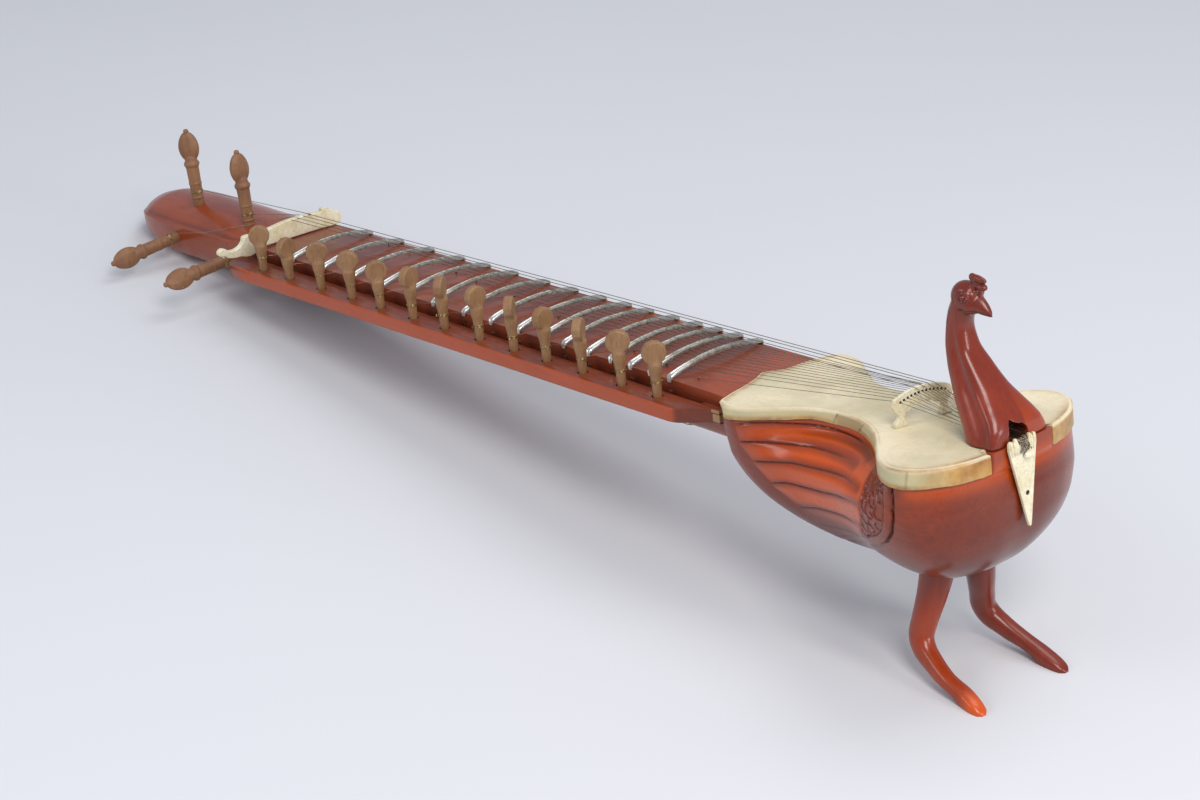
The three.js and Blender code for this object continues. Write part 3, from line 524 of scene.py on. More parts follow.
def slab(outline, z0, z1, bevel=0.4, holes=(), steps=3):
    """A flat plate of that outline with rounded edges, as a mesh in [x, y, z]."""
    cu = bpy.data.curves.new("slab", "CURVE")
    cu.dimensions = "2D"
    cu.fill_mode = "BOTH"
    for ring in [outline, *holes]:
        s = cu.splines.new("POLY")
        s.points.add(len(ring) - 1)
        for p, (x, y) in zip(s.points, ring):
            p.co = (x, y, 0, 1)
        s.use_cyclic_u = True
    cu.extrude = (z1 - z0) / 2 - bevel
    cu.bevel_depth = bevel
    cu.bevel_resolution = steps
    cu.offset = -bevel
    ob = bpy.data.objects.new("slab", cu)
    bpy.context.scene.collection.objects.link(ob)
    bpy.context.view_layer.update()
    me = bpy.data.meshes.new_from_object(ob.evaluated_get(bpy.context.evaluated_depsgraph_get()))
    bm = bmesh.new()
    bm.from_mesh(me)
    bmesh.ops.remove_doubles(bm, verts=bm.verts, dist=0.004)
    bmesh.ops.triangulate(bm, faces=[f for f in bm.faces if len(f.verts) > 4])
    V = np.array([v.co[:] for v in bm.verts]) + [0, 0, (z0 + z1) / 2]
    F = [[v.index for v in f.verts] for f in bm.faces]
    bm.free()
    bpy.data.objects.remove(ob)
    bpy.data.curves.remove(cu)
    bpy.data.meshes.remove(me)
    return V, F


def across(part):
    """From [v, w] pushed along z to the same pushed along u."""
    V, F = part
    return V[:, [2, 0, 1]], F


def solidify(parts, voxel, cuts=(), smooth=0, factor=0.5):
    """Closed parts melted into one skin of voxel-size faces, all in millimetres."""
    V, F = join(*parts)
    me = bpy.data.meshes.new("melt")
    me.from_pydata(V.tolist(), [], F)
    me.update()
    ob = bpy.data.objects.new("melt", me)
    bpy.context.scene.collection.objects.link(ob)
    outward(ob)
    m = ob.modifiers.new("r", "REMESH")
    m.mode = "VOXEL"
    m.voxel_size = voxel
    cutters = []
    for cut in cuts:
        cm = bpy.data.meshes.new("cut")
        cm.from_pydata(np.asarray(cut[0]).tolist(), [], cut[1])
        co = bpy.data.objects.new("cut", cm)
        bpy.context.scene.collection.objects.link(co)
        outward(co)
        b = ob.modifiers.new("b", "BOOLEAN")
        b.operation = "DIFFERENCE"
        b.solver = "EXACT"
        b.object = co
        cutters.append(co)
        m = ob.modifiers.new("r2", "REMESH")
        m.mode = "VOXEL"
        m.voxel_size = voxel
    if smooth:
        s = ob.modifiers.new("s", "SMOOTH")
        s.factor = factor
        s.iterations = smooth
    bpy.context.view_layer.update()
    me2 = bpy.data.meshes.new_from_object(ob.evaluated_get(bpy.context.evaluated_depsgraph_get()))
    V = np.array([v.co[:] for v in me2.vertices])
    F = [list(p.vertices) for p in me2.polygons]
    for o in [ob, *cutters]:
        bpy.data.objects.remove(o)
    return V, F


def smoothstep(a, b, x):
    t = np.clip((np.asarray(x, float) - a) / (b - a), 0, 1)
    return t * t * (3 - 2 * t)


def line_distance(P, line):
    """Each 2-D point's distance to a polyline, and how far along it the foot is, 0 to 1."""
    P, L = np.asarray(P, float), np.asarray(line, float)
    seg = np.linalg.norm(np.diff(L, axis=0), axis=1)
    total, run = seg.sum(), 0.0
    best = np.full(len(P), 1e9)
    along = np.zeros(len(P))
    side = np.zeros(len(P))
    for a, b, l in zip(L[:-1], L[1:], seg):
        d = (b - a) / l
        t = np.clip((P - a) @ d, 0, l)
        q = P - (a + t[:, None] * d)
        r = np.hypot(q[:, 0], q[:, 1])
        k = r < best
        best[k] = r[k]
        along[k] = (run + t[k]) / total
        side[k] = (d[0] * q[k, 1] - d[1] * q[k, 0])
        run += l
    return best, along, side


def wobble(x, seed, step):
    """A smooth random line, about -1 to 1, read at x."""
    r = np.random.default_rng(seed)
    lo, hi = float(np.min(x)), float(np.max(x))
    k = np.arange(lo - step, hi + 2 * step, step)
    y = r.uniform(-1, 1, len(k))
    return pchip(k, y, np.asarray(x, float))


# --------------------------------------------------------------------------- stage
floor_me = bpy.data.meshes.new("floor")
floor_me.from_pydata([(-9, -7, 0), (9, -7, 0), (9, 9, 0), (-9, 9, 0)], [], [(0, 1, 2, 3)])
floor = bpy.data.objects.new("floor", floor_me)
bpy.context.scene.collection.objects.link(floor)
fm = Mat("floor_paper", Roughness=0.85, Specular_IOR_Level=0.25)
fm.put("Base Color", fm.mix(fm.ramp(fm.noise(1.1, 2.0, 0.5), (0.3, 0), (0.7, 1)), (0.655, 0.655, 0.672, 1), (0.675, 0.675, 0.69, 1)))
fm.bumps((fm.noise(900.0, 2.0, 0.5), 0.05, 0.0002))
floor_me.materials.append(fm.m)

wd = bpy.data.worlds.new("studio")
bpy.context.scene.world = wd
wd.use_nodes = True
wd.node_tree.nodes["Background"].inputs["Color"].default_value = (0.80, 0.86, 1.0, 1)
wd.node_tree.nodes["Background"].inputs["Strength"].default_value = 0.5


def area(name, at, to, size, power, color=(1, 1, 1), size_y=None):
    li = bpy.data.lights.new(name, "AREA")
    li.energy = power
    li.color = color
    li.size = size
    if size_y:
        li.shape = "RECTANGLE"
        li.size_y = size_y
    ob = bpy.data.objects.new(name, li)
    bpy.context.scene.collection.objects.link(ob)
    ob.location = at
    ob.rotation_euler = (Vector(to) - Vector(at)).to_track_quat("-Z", "Y").to_euler()
    return ob


area("key_softbox", (1.9, -0.75, 2.3), (0.15, 0, 0.1), 1.1, 47, (1.0, 0.985, 0.96), 1.4)
area("side_softbox", (-0.7, -2.2, 1.5), (0.1, 0, 0.1), 1.3, 16, (0.93, 0.96, 1.0), 1.0)
area("front_softbox", (2.3, 0.55, 0.75), (0.5, 0.0, 0.22), 0.5, 11, (1.0, 0.99, 0.97), 0.9)
area("top_softbox", (0.2, 1.2, 2.7), (0.1, 0, 0.1), 1.8, 22, (0.96, 0.98, 1.0), 1.4)

bpy.context.scene.view_settings.view_transform = "Standard"

cam_data = bpy.data.cameras.new("camera")
cam_data.sensor_width = 36.0
cam_data.lens = 2600.00847 * 36.0 / 1200.0
cam_data.clip_end = 60
camera = bpy.data.objects.new("camera", cam_data)
bpy.context.scene.collection.objects.link(camera)
CAM_AT = np.array([1334.478, -1171.465, 657.926])
CAM_AZ, CAM_EL, CAM_ROLL = (math.radians(x) for x in (51.5231549, 20.9433980, -5.93518709))


def turned_axis(a):
    return Vector((a[0] * CT - a[2] * ST, a[1], a[0] * ST + a[2] * CT))


_back = Vector((math.sin(CAM_AZ) * math.cos(CAM_EL), -math.cos(CAM_AZ) * math.cos(CAM_EL), math.sin(CAM_EL)))
_right = Vector((math.cos(CAM_AZ), math.sin(CAM_AZ), 0))
_up = _back.cross(_right)
_c, _s = math.cos(CAM_ROLL), math.sin(CAM_ROLL)
_r2, _u2 = _right * _c + _up * _s, _up * _c - _right * _s
_m = Matrix.Identity(3)
for _i, _a in enumerate((_r2, _u2, _back)):
    _m.col[_i] = turned_axis(_a)
camera.matrix_world = Matrix.Translation(Vector(world(CAM_AT)[0])) @ _m.to_4x4()
bpy.context.scene.camera = camera

ROOT = "instrument"

# ---------------------------------------------------------------------------- body
# lines of the carved wing on the side plane, [u, w]
WING_EDGE = [[80, -11], [94, -8.3], [105.4, -8.2], [115.9, -8.8], [131.6, -9.5], [147.4, -9.9], [162.6, -10.7], [173.1, -11.4], [185.3, -12], [196, -13]]
FEATHERS = [
    [[81, -24.2], [95.2, -21.7], [104.1, -20.9], [115.5, -20.7], [126.6, -20.5], [138.5, -19.7], [153.1, -19.4], [168.3, -19.1], [178.5, -18.6], [188, -18.8]],
    [[94, -36], [112.6, -32.4], [129.2, -29.8], [147.7, -28.7], [167.1, -26.9], [184.7, -25.2], [195.1, -25.0], [206, -25]],
    [[107, -50.6], [122.3, -46.0], [140.6, -44.6], [161.6, -42.1], [182.8, -37.4], [203.1, -32.9], [211, -32]],
    [[128, -65.2], [146.3, -60.1], [161.5, -57.7], [177.0, -55.4], [192.7, -53.0], [205.1, -49.7]],
    [[140, -77], [158, -74.5], [172, -72.2], [184, -71.4], [193, -70.4]],
]
BORDER_OUT = [[247.2, 2], [247.4, -6.5], [248.1, -17.0], [247.5, -30.7], [243.6, -42.0], [237.0, -50.0], [227.5, -57.0], [214, -63.5], [196, -72], [176, -81], [150, -90]]
BORDER_IN = [[240.4, 2], [241.0, -9.7], [242.2, -22.7], [241.3, -32.3], [237.6, -40.6], [231.0, -47.2], [222, -52.6], [210, -58.4], [193, -67.0], [174, -76.6], [150, -86]]
PATCH_LINE = [[211.0, -16], [212.4, -22.0], [214.2, -28.2], [211.1, -43.3], [203.0, -55.9], [195.3, -70.8]]
REAR_LINE = [[80.5, -8], [81.9, -16], [82.9, -24.8], [95.8, -37.2], [109.4, -51.4], [130.3, -66.3], [141.1, -79.0]]
MARKS = [
    [[215.5, -18.5], [214.6, -21.2], [216.9, -24.4], [219.6, -25.2]], [[219.0, -22.0], [220.4, -26.6], [223.4, -28.2]],
    [[226.6, -13.6], [224.0, -16.4], [225.2, -19.4], [228.6, -20.4]], [[231.4, -9.6], [229.2, -12.8], [231.2, -16.0]],
    [[238.4, -9.2], [235.4, -11.6], [236.8, -14.4], [239.2, -15.2]], [[234.2, -14.6], [232.4, -18.6], [234.6, -21.8], [237.8, -22.2]],
    [[224.6, -21.4], [223.4, -24.6], [226.6, -27.4], [230.2, -27.6]], [[230.6, -22.6], [229.8, -25.6]],
    [[216.8, -27.2], [215.9, -31.0], [219.2, -34.4]], [[221.6, -29.0], [220.8, -33.2], [223.8, -36.4], [227.4, -36.6]],
    [[232.6, -27.2], [231.2, -30.6], [233.6, -33.8], [237.6, -34.2]], [[227.4, -31.4], [229.8, -34.0]],
    [[215.0, -36.8], [214.2, -40.6], [217.8, -43.4], [221.0, -43.2]], [[223.2, -38.8], [222.4, -41.8], [225.8, -44.6]],
    [[232.2, -37.4], [229.6, -40.2], [231.4, -43.0]], [[210.6, -46.0], [210.4, -49.6], [213.8, -51.6]],
    [[218.4, -45.8], [217.2, -49.2], [220.4, -51.4]], [[226.4, -46.8], [223.6, -48.8]], [[206.6, -53.0], [205.8, -56.4], [209.2, -58.0]],
    [[214.2, -53.6], [212.4, -56.6]],
]


def skirt_deep(u, v):
    """How far the skirt comes down: less at the waist and the rear than round the breast."""
    at_side = pchip([50, 66, 84, 104, 160, 186, 206, 225, 300], [11.2, 11.2, 10.2, 9.0, 9.4, 11.4, 13.0, 13.6, 13.6], u)
    return at_side


def carve(P, N):
    """How far each point of the hull moves outwards for the carved wing, and its marks."""
    out = np.zeros(len(P))
    dirt_and_shade = np.zeros(len(P))
    tone = np.zeros(len(P))
    uw = P[:, [0, 2]]
    d_out, _, s_out = line_distance(uw, BORDER_OUT)
    d_in, _, s_in = line_distance(uw, BORDER_IN)
    d_patch, _, s_patch = line_distance(uw, PATCH_LINE)
    d_rear, _, s_rear = line_distance(uw, REAR_LINE)
    d_edge, _, s_edge = line_distance(uw, WING_EDGE)
    side = np.abs(N[:, 1])
    on = smoothstep(0.2, 0.62, side)
    low = smoothstep(-72, -52, P[:, 2])
    inside = np.where(s_out < 0, d_out, -d_out)  # positive on the wing's side of the border
    behind = np.where(s_rear > 0, d_rear, -d_rear)  # positive in front of the wing's rear line
    in_wing = smoothstep(-0.5, 0.5, inside) * smoothstep(-1.0, 1.0, behind) * on * (0.1 + 0.9 * low)
    # the wing stands up from the breast, with a soft rise from the keel and the rear
    out += 1.0 * in_wing * smoothstep(0, 9, behind)
    # the border: a raised flat band with a deep line before it and a shallow one behind
    band = smoothstep(-0.4, 0.6, inside) * (1 - smoothstep(-0.4, 0.6, np.where(s_in < 0, d_in, -d_in))) * on
    out += 0.9 * band * (0.1 + 0.9 * low)
    out -= 1.3 * np.exp(-((inside + 0.7) / 1.0) ** 2) * on * (0.25 + 0.75 * low)
    # painted shadow in the deep line before the border's step
    dirt_and_shade += 0.9 * np.exp(-((inside + 0.6) / 0.8) ** 2) * on * (0.2 + 0.8 * low)
    out -= 0.7 * np.exp(-((np.where(s_in < 0, d_in, -d_in) - 0.3) / 0.8) ** 2) * on * (0.15 + 0.85 * low)
    dirt_and_shade += 0.5 * np.exp(-(d_in / 0.55) ** 2) * on
    # feathers: each one swells between two lines, steep on its upper side
    patch = np.where(s_patch > 0, d_patch, -d_patch)  # positive on the breast's side
    feathers = (1 - smoothstep(-3.5, 1.0, patch)) * in_wing
    near_line = np.full(len(P), 1e9)
    for k, f in enumerate([WING_EDGE, *FEATHERS]):
        d, t, s = line_distance(uw, f)
        fade = (1 - smoothstep(0.72, 1.0, t) * 0.85) * smoothstep(-0.01, 0.05, t)
        out -= 0.85 * np.exp(-(d / 0.75) ** 2) * fade * on * (0.2 + 0.8 * low)
        dirt_and_shade += 0.95 * np.exp(-(d / (0.5 + 0.2 * (1 - t))) ** 2) * fade * on
        below = np.where(s > 0, 1.0, 0.0) if f[0][0] > f[-1][0] else np.where(s < 0, 1.0, 0.0)
        out += 0.45 * below * np.exp(-((d - 3.2) / 3.8) ** 2) * fade * feathers
        near_line = np.minimum(near_line, d)
    tone += 0.85 * feathers * smoothstep(0.6, 5.5, near_line) * np.clip(0.35 + (P[:, 0] - 96) / 95, 0, 1)
    tone += 0.25 * feathers
    # the small scratched feathers before the border
    field = smoothstep(-0.5, 0.8, patch) * smoothstep(-0.2, 0.6, np.where(s_in < 0, d_in, -d_in)) * on
    out -= 0.5 * field * low
    out -= 0.5 * np.exp(-((patch - 0.2) / 0.7) ** 2) * smoothstep(-0.5, 0.5, np.where(s_in < 0, d_in, -d_in)) * on
    for f in MARKS:
        d, t, s = line_distance(uw, f)
        out -= 0.85 * np.exp(-(d / 0.6) ** 2) * on
        dirt_and_shade += 0.85 * np.exp(-(d / 0.42) ** 2) * on
        out += 0.35 * np.exp(-((d - 1.4) / 0.8) ** 2) * on
    # under the skirt the varnish is orange, and the keel and breast are darker
    tone -= 0.12 * field
    return out, np.clip(dirt_and_shade, 0, 1), tone


def build_body():
    steps = 330
    R = hull_rings(0, steps)
    M, N, _ = R.shape
    du = np.roll(R, -1, 1) - np.roll(R, 1, 1)
    dd = np.gradient(R, axis=0)
    n = np.cross(du, dd)
    n /= np.maximum(np.linalg.norm(n, axis=2, keepdims=True), 1e-9)
    n *= np.sign(((R[60] - R[60].mean(0)) * n[60]).sum(1).mean())
    P, Q = R.reshape(-1, 3), n.reshape(-1, 3)
    out, dirt_and_shade, tone = carve(P, Q)
    depth = skin_top(P[:, 0]) - P[:, 2]
    # nothing is carved under the skin's skirt
    deep = skirt_deep(P[:, 0], P[:, 1])
    hidden = smoothstep(-0.9, 0.7, depth - deep)
    out *= hidden
    dirt_and_shade *= hidden
    # at the front the wood stands flush with the skin, up to the bird's foot
    front = smoothstep(279, 282, P[:, 0]) * smoothstep(-25.3, -24.7, P[:, 1]) * (1 - smoothstep(33.7, 34.3, P[:, 1]))
    out += 1.35 * front * (1 - smoothstep(12, 17, depth))
    # hand carving leaves the surface a little uneven
    out += 0.22 * np.sin(P[:, 0] / 9.3 + 0.7 * np.sin(P[:, 2] / 13)) * np.sin(P[:, 2] / 11.7 + P[:, 1] / 17) * hidden
    tone += 0.55 * np.exp(-((depth - 16) / 7) ** 2) * smoothstep(250, 262, P[:, 0])
    tone += 0.2 * front * (1 - smoothstep(10, 18, depth))
    low = smoothstep(55, 100, depth)
    tone -= 0.6 * low
    tone -= 0.35 * smoothstep(255, 280, P[:, 0]) * smoothstep(28, 60, depth)
    # painted shade just below the skirt's lower edge
    dirt_and_shade += 0.45 * np.exp(-((depth - deep - 0.6) / 0.8) ** 2) * (1 - front)
    V = (P + Q * out[:, None]).reshape(M, N, 3)
    V[0, :, 2] += 1.1 * front.reshape(M, N)[0]
    v, f = grid(V)
    z = np.zeros(2)
    pad = lambda a: np.concatenate([np.clip(a, -1, 1), z])
    return make("body_carved", v, f, WOOD_X, ROOT, ["body_shell"],
                {"dirt_and_shade": pad(dirt_and_shade), "tone": pad(tone)})


build_body()


# ---------------------------------------------------------------------------- skin
def skin_outline():
    """Plan of the skin's edge and how deep it comes down there."""
    plan = plan_top
    upper = plan[(plan[:, 0] > 70) & (plan[:, 1] >= 0)]
    lower = plan[(plan[:, 0] > 70) & (plan[:, 1] < 0)]
    near = catmull([[70, -58.6], [64.5, -56.5], [60.5, -45], [57, -27], [52.5, -11], [48, 0], [52, 7], [57, 15], [58.5, 30], [61, 43], [65, 54], [70, 58.6]], 12)[1:-1]
    pts = []
    for p in [*upper, *lower, *near]:
        pts.append(p)
    pts = np.array(pts)
    # the notch at the front, where the wood comes up to the bird
    out = []
    for u, v in pts:
        if u > 280.2 and -25.5 < v < 34.5:
            out.append([280.2, v])
        else:
            out.append([u, v])
    out = np.array(out)
    # even steps of about 0.8 mm
    closed = np.vstack([out, out[:1]])
    seg = np.r_[0, np.cumsum(np.hypot(*np.diff(closed, axis=0).T))]
    keep = np.r_[True, np.diff(seg) > 1e-6]
    q = np.linspace(0, seg[-1], int(seg[-1] / 0.8), endpoint=False)
    return np.column_stack([np.interp(q, seg[keep], closed[keep, 0]), np.interp(q, seg[keep], closed[keep, 1])])


def build_skin():
    O = skin_outline()
    n = len(O)
    s = np.arange(n)
    u, v = O[:, 0], O[:, 1]
    rear = (1 - smoothstep(66, 71, u))
    notch = ((u > 279.9) & (v > -25.6) & (v < 34.6) & (u < 280.6)).astype(float)
    full = skirt_deep(u, v) + 0.45 * wobble(s, 3, 26) + 0.25 * wobble(s, 4, 7)
    D = full * (1 - rear) + 1.5 * rear
    D = np.where(notch > 0, 1.15, D)
    a, b = np.roll(O, 2, axis=0), np.roll(O, -2, axis=0)
    d = b - a
    l = np.maximum(np.hypot(d[:, 0], d[:, 1]), 1e-9)
    Nn = np.column_stack([-d[:, 1] / l, d[:, 0] / l])
    area2 = np.sum(O[:, 0] * np.roll(O[:, 1], -1) - np.roll(O[:, 0], -1) * O[:, 1])
    if area2 > 0:
        Nn = -Nn
    centre_line = np.column_stack([np.clip(u, 100, 250), np.zeros(n)])
    rings, info = [], []
    # the top: from the middle line outwards
    for t in np.linspace(0, 1, 60)[:-1]:
        p = centre_line + (O - Nn * 2.2 - centre_line) * t ** 0.8
        uu = p[:, 0]
        edge = 1 - t
        sag = 0.35 * np.sin(uu / 21 + 1) * np.sin(p[:, 1] / 19) - 0.15
        rings.append(np.column_stack([p, skin_top(uu) + sag * (1 - t ** 6)]))
        info.append((0.0, edge))
    # round the edge
    for a in np.linspace(0, math.pi / 2, 8):
        r = 2.2
        lift = r * (1 - math.cos(a))
        p = O - Nn * (r - r * math.sin(a))
        rings.append(np.column_stack([p, skin_top(p[:, 0]) - np.minimum(lift, np.maximum(D - 0.1, 0.1) * (a / (math.pi / 2)))]))
        info.append((lift, 0.0))
    # down the side
    for t in np.linspace(0, 1, 26)[1:]:
        z = 2.2 + (D - 2.2) * t
        z = np.where(D < 2.4, D, z)
        bulge = 0.25 * wobble(s + 97 * t, 11, 31) * math.sin(math.pi * t) * (D > 5)
        lip = 0.18 * smoothstep(0.86, 0.95, t) * (1 - smoothstep(0.96, 1.0, t))
        p = O + Nn * (bulge + lip)[:, None]
        rings.append(np.column_stack([p, skin_top(p[:, 0]) - z]))
        info.append((z, 0.0))
    outer = len(rings)
    # and back up the inner side
    for z in (D, np.full(n, 1.2)):
        p = O - Nn * 1.15
        rings.append(np.column_stack([p, skin_top(p[:, 0]) - np.minimum(z, D)]))
        info.append((z, 0.0))
    V, F = grid(rings, (True, True))
    stain, skirt, seam, patch = [], [], [], []
    uu = u
    near = v < 0
    far = ~near
    amber = np.clip(smoothstep(258, 286, uu) + 0.55 * rear, 0, 1)
    seams = [(148.5, -1, 2.6), (175.5, -1, 4.6), (261, -1, 0.6), (126, 1, -2.0), (196, 1, 2.4), (259, 1, 0.4), (84, 1, 1.0)]
    for ring, (z, edge) in zip(rings, info):
        zz = np.broadcast_to(np.asarray(z, float), (n,))
        st = 0.85 * smoothstep(-4.6, -0.8, zz - D) * (zz > 1.0) * (D > 4)
        st = np.maximum(st, 0.95 * smoothstep(0.3, 2.4, zz) * amber)
        rim = np.exp(-((zz - 0.9) / 0.9) ** 2) * (zz > 0.1) * np.clip(0.5 + 0.5 * wobble(s, 17, 40), 0, 1)
        if edge:
            rim = 0.6 * np.exp(-(edge / 0.045) ** 2) * np.clip(0.45 + 0.9 * wobble(s, 18, 40), 0, 1) + 0 * uu
            st = 0.8 * np.exp(-(edge / 0.11) ** 2) * np.clip(amber + 0.4 * rear, 0, 1)
        stain.append(np.clip(np.maximum(st, rim), 0, 1))
        skirt.append(smoothstep(1.0, 4.0, zz))
        sm = np.zeros(n)
        for at, sd, lean in seams:
            x = (uu - at - lean * (5.0 - zz) / 5.0)
            sm = np.maximum(sm, np.exp(-(x / 0.75) ** 2) * ((v * sd) > 0) * smoothstep(0.6, 2.4, zz) * (uu > 66))
        sm = np.maximum(sm, notch * 0.6 * (zz > 0.6))
        seam.append(sm * np.clip(0.65 + 0.5 * wobble(s + 13 * float(np.mean(zz)), 23, 3), 0, 1))
        inpatch = smoothstep(149, 150.5, uu) * (1 - smoothstep(174.5, 176.5, uu)) * near
        inpatch = np.maximum(inpatch, smoothstep(127, 129, uu) * (1 - smoothstep(194, 197, uu)) * far * 0.8)
        patch.append(inpatch * smoothstep(0.8, 2.5, zz))
    pad = lambda a: np.concatenate([np.array(a).ravel(), [0, 0]])
    ob = make("skin_stretched", V, F, SKIN, ROOT, ["soundboard_skin"],
              {"stain": pad(stain), "skirt": pad(skirt), "seam": pad(seam), "patch": pad(patch)})
    return ob


build_skin()


# --------------------------------------------------------------------- neck, pegbox
NECK_HALF, NECK_TAPER, NECK_END = 44.8, 0.107 / 517, 57.2


def neck_half(u):
    return NECK_HALF * (1 + NECK_TAPER * u)


NECK = np.array([
    [-771, 4, -9, 2, 13], [-770, 9.5, -8, 3.6, 15.5], [-767.5, 16, -6.8, 6.2, 19], [-760, 25, -5, 9.5, 23.5], [-749, 32.2, -4, 12, 28],
    [-735, 37.4, -3, 13.8, 32], [-715, 40.6, -3, 14.6, 36.2], [-690, 41.8, -3, 14.8, 38],
    [-650, 41.4, -3, 14, 38.4], [-600, 40.4, -2.6, 11, 38.6], [-570, 39.8, -1.6, 6.8, 38.8],
    [-548, neck_half(-548), -0.4, 1.6, 39], [-540, neck_half(-540), 0, 0.7, 39],
    [-300, neck_half(-300), 0, 0.7, 40], [20, neck_half(20), 0, 0.7, 42],
    [NECK_END, neck_half(NECK_END), 0, 0.7, 42.5]])


def neck_row(u):
    return [pchip(NECK[:, 0], NECK[:, c], u) for c in range(1, 5)]


def neck_section(u, grow=0.0, n=120):
    b0, edge, crown, d0 = [float(a[0]) for a in neck_row(np.array([float(u)]))]
    b, d = b0 + grow, d0 + grow
    top = n // 3
    k = np.arange(top)
    v = b * np.cos(np.pi * k / top)
    up = np.column_stack([v, edge + grow + crown * (1 - (v / b) ** 2)])
    k = np.arange(n - top)
    a = np.pi + np.pi * k / (n - top)
    c, s = np.cos(a), np.sin(a)
    low = np.column_stack([b * np.sign(c) * np.abs(c) ** 0.55, edge + grow - (d + edge + grow) * np.abs(s) ** 0.55])
    return np.vstack([up, low])


def floor_w(u):
    """Height of the floor in the instrument's frame."""
    return (-SHIFT[2] - np.asarray(u, float) * ST) / CT


def build_neck():
    us = np.concatenate([-771 + 31 * (1 - np.cos(np.linspace(0, np.pi / 2, 26))), np.linspace(-738, -530, 90), np.linspace(-526, NECK_END, 150)])
    rings = []
    tones, dirt_and_shade_rows = [], []
    for u in us:
        sec = neck_section(u)
        w = np.maximum(sec[:, 1], floor_w(u) + 0.0)
        R = np.column_stack([np.full(len(sec), u), sec[:, 0], w])
        # a soft carved ridge where the pegbox's top meets its sides
        box = 1 - smoothstep(-575, -545, u)
        b = abs(sec[:, 0]).max()
        line = np.exp(-((np.abs(sec[:, 0]) - b * 0.9) / 2.2) ** 2) * (sec[:, 1] > sec[0, 1] - 1)
        R[:, 2] -= 0.55 * line * box
        # chamfered edges of the fingerboard
        side = (sec[:, 1] < -0.6) & (sec[:, 1] > -13)
        tones.append(-0.55 * side * (1 - box) + 0.25 * smoothstep(18, 40, u) * (sec[:, 1] > -0.5) + 0.12 * box)
        dirt_and_shade_rows.append(0.45 * line * box + 0.2 * np.exp(-((sec[:, 1] + 1.0) / 0.9) ** 2) * (1 - box))
        rings.append(R)
    V, F = grid(rings)
    pad = lambda a: np.concatenate([np.clip(np.array(a).ravel(), -1, 1), [0, 0]])
    make("neck_carved", V, F, NECK_W, ROOT, ["neck"], {"tone": pad(tones), "dirt_and_shade": pad(dirt_and_shade_rows)})


build_neck()

PEGS = [-511.0, -471.0, -424.0, -379.5, -339.5, -295.0, -253.5, -208.5, -166.0, -126.5, -84.5, -40.5, -1.2]
PEG_SITS = [0, -4, 1, 1.2, 0, 3, 2.6, 3.6, 3.2, 2.7, 2.5, 2.4, 2.2]
PEG_V, FACE = -57.0, 38.5
PEG_TURN = [0, 48, 6, -8, 10, 50, 76, 40, 80, 45, 74, -6, 8]
RAIL_TOP, RAIL_THICK, RAIL_OUT, RAIL_SLOT, RAIL_START = -9.0, 11.0, -68.5, 3.2, -561.0
LUGS = [-543, -377, -227.6, -105.9, -54.4]
EDGE_U = [-505, -464, -420, -376, -338, -278, -236.9, -201, -163, -111, -80.5, -34.8, 9.5]


def circle(cx, cy, r, n):
    a = np.linspace(0, 2 * np.pi, n, endpoint=False)
    return np.column_stack([cx + r * np.cos(a), cy + r * np.sin(a)])


def build_rail():
    inner = lambda u: -neck_half(u) - RAIL_SLOT
    out = [[RAIL_START, inner(RAIL_START)], [RAIL_START, -58], [RAIL_START + 4, -63], [RAIL_START + 10, RAIL_OUT + 1.5], [-530, RAIL_OUT]]
    out += [[u, RAIL_OUT + 0.18 * math.sin(u / 37)] for u in range(-520, 20, 12)]
    out += [[20, RAIL_OUT], [25, -67.9], [29, -66.3], [38, -60], [46, -53.5], [51, -51.2], [56.5, -50.5], [56.5, inner(50)]]
    out += [[u, inner(u)] for u in range(50, -560, -20)]
    body = slab(out, RAIL_TOP - RAIL_THICK, RAIL_TOP, 0.9, [circle(u, PEG_V, 3.95, 20) for u in PEGS])
    parts = [body]
    for u in LUGS:
        a = [[u - 4, inner(u) - 2.5], [u + 4, inner(u) - 2.5], [u + 4, -neck_half(u) + 0.2], [u - 4, -neck_half(u) + 0.2]]
        parts.append(slab(a, RAIL_TOP - RAIL_THICK + 2, RAIL_TOP - 1.2, 0.5))
    parts.append(slab([[36, inner(40) - 2], [56.5, inner(40) - 2], [56.5, -neck_half(56)], [36, -neck_half(40)]], RAIL_TOP - RAIL_THICK, RAIL_TOP, 0.4))
    V, F = join(*parts)
    outer = (V[:, 1] < -67.4).astype(float)
    endf = smoothstep(24, 32, V[:, 0]) * (V[:, 1] < -50.6)
    tone = np.clip(0.45 * outer * (1 - endf) - 0.55 * endf - 0.12 * (1 - outer), -1, 1)
    # painted shade along the underside of the rail's outer part and in and round the peg holes
    dirt_and_shade = 0.35 * (V[:, 2] < RAIL_TOP - RAIL_THICK + 0.8) * (V[:, 1] < -60)
    for u in PEGS:
        d = np.hypot(V[:, 0] - u, V[:, 1] - PEG_V)
        dirt_and_shade = np.maximum(dirt_and_shade, 0.8 * (d < 4.4))
    make("rail_of_pegs", V, F, RAIL_W, ROOT, ["peg_rail"], {"tone": tone, "dirt_and_shade": dirt_and_shade})


build_rail()


def build_wedge():
    """The small slit block that fills the gap between the rail's end and the body."""
    V1 = slab([[46.5, -51.6], [57.2, -51.4], [57.4, -46.0], [46.5, -46.4]], -18.6, -12.4, 0.5)
    V2 = slab([[48.0, -51.9], [57.3, -51.7], [57.4, -46.0], [48.0, -46.4]], -11.6, -9.4, 0.4)
    V, F = join(V1, V2)
    make("rail_end_wedge", V, F, MAIN_W, ROOT)


build_wedge()


# --------------------------------------------------------------------------- frets
FRETS = [-486.9, -441.2, -397.9, -356.3, -322.0, -285.6, -245.2, -210.0, -175.9, -146.3,
         -120.4, -91.4, -65.5, -43.2, -21.4, 0.0]


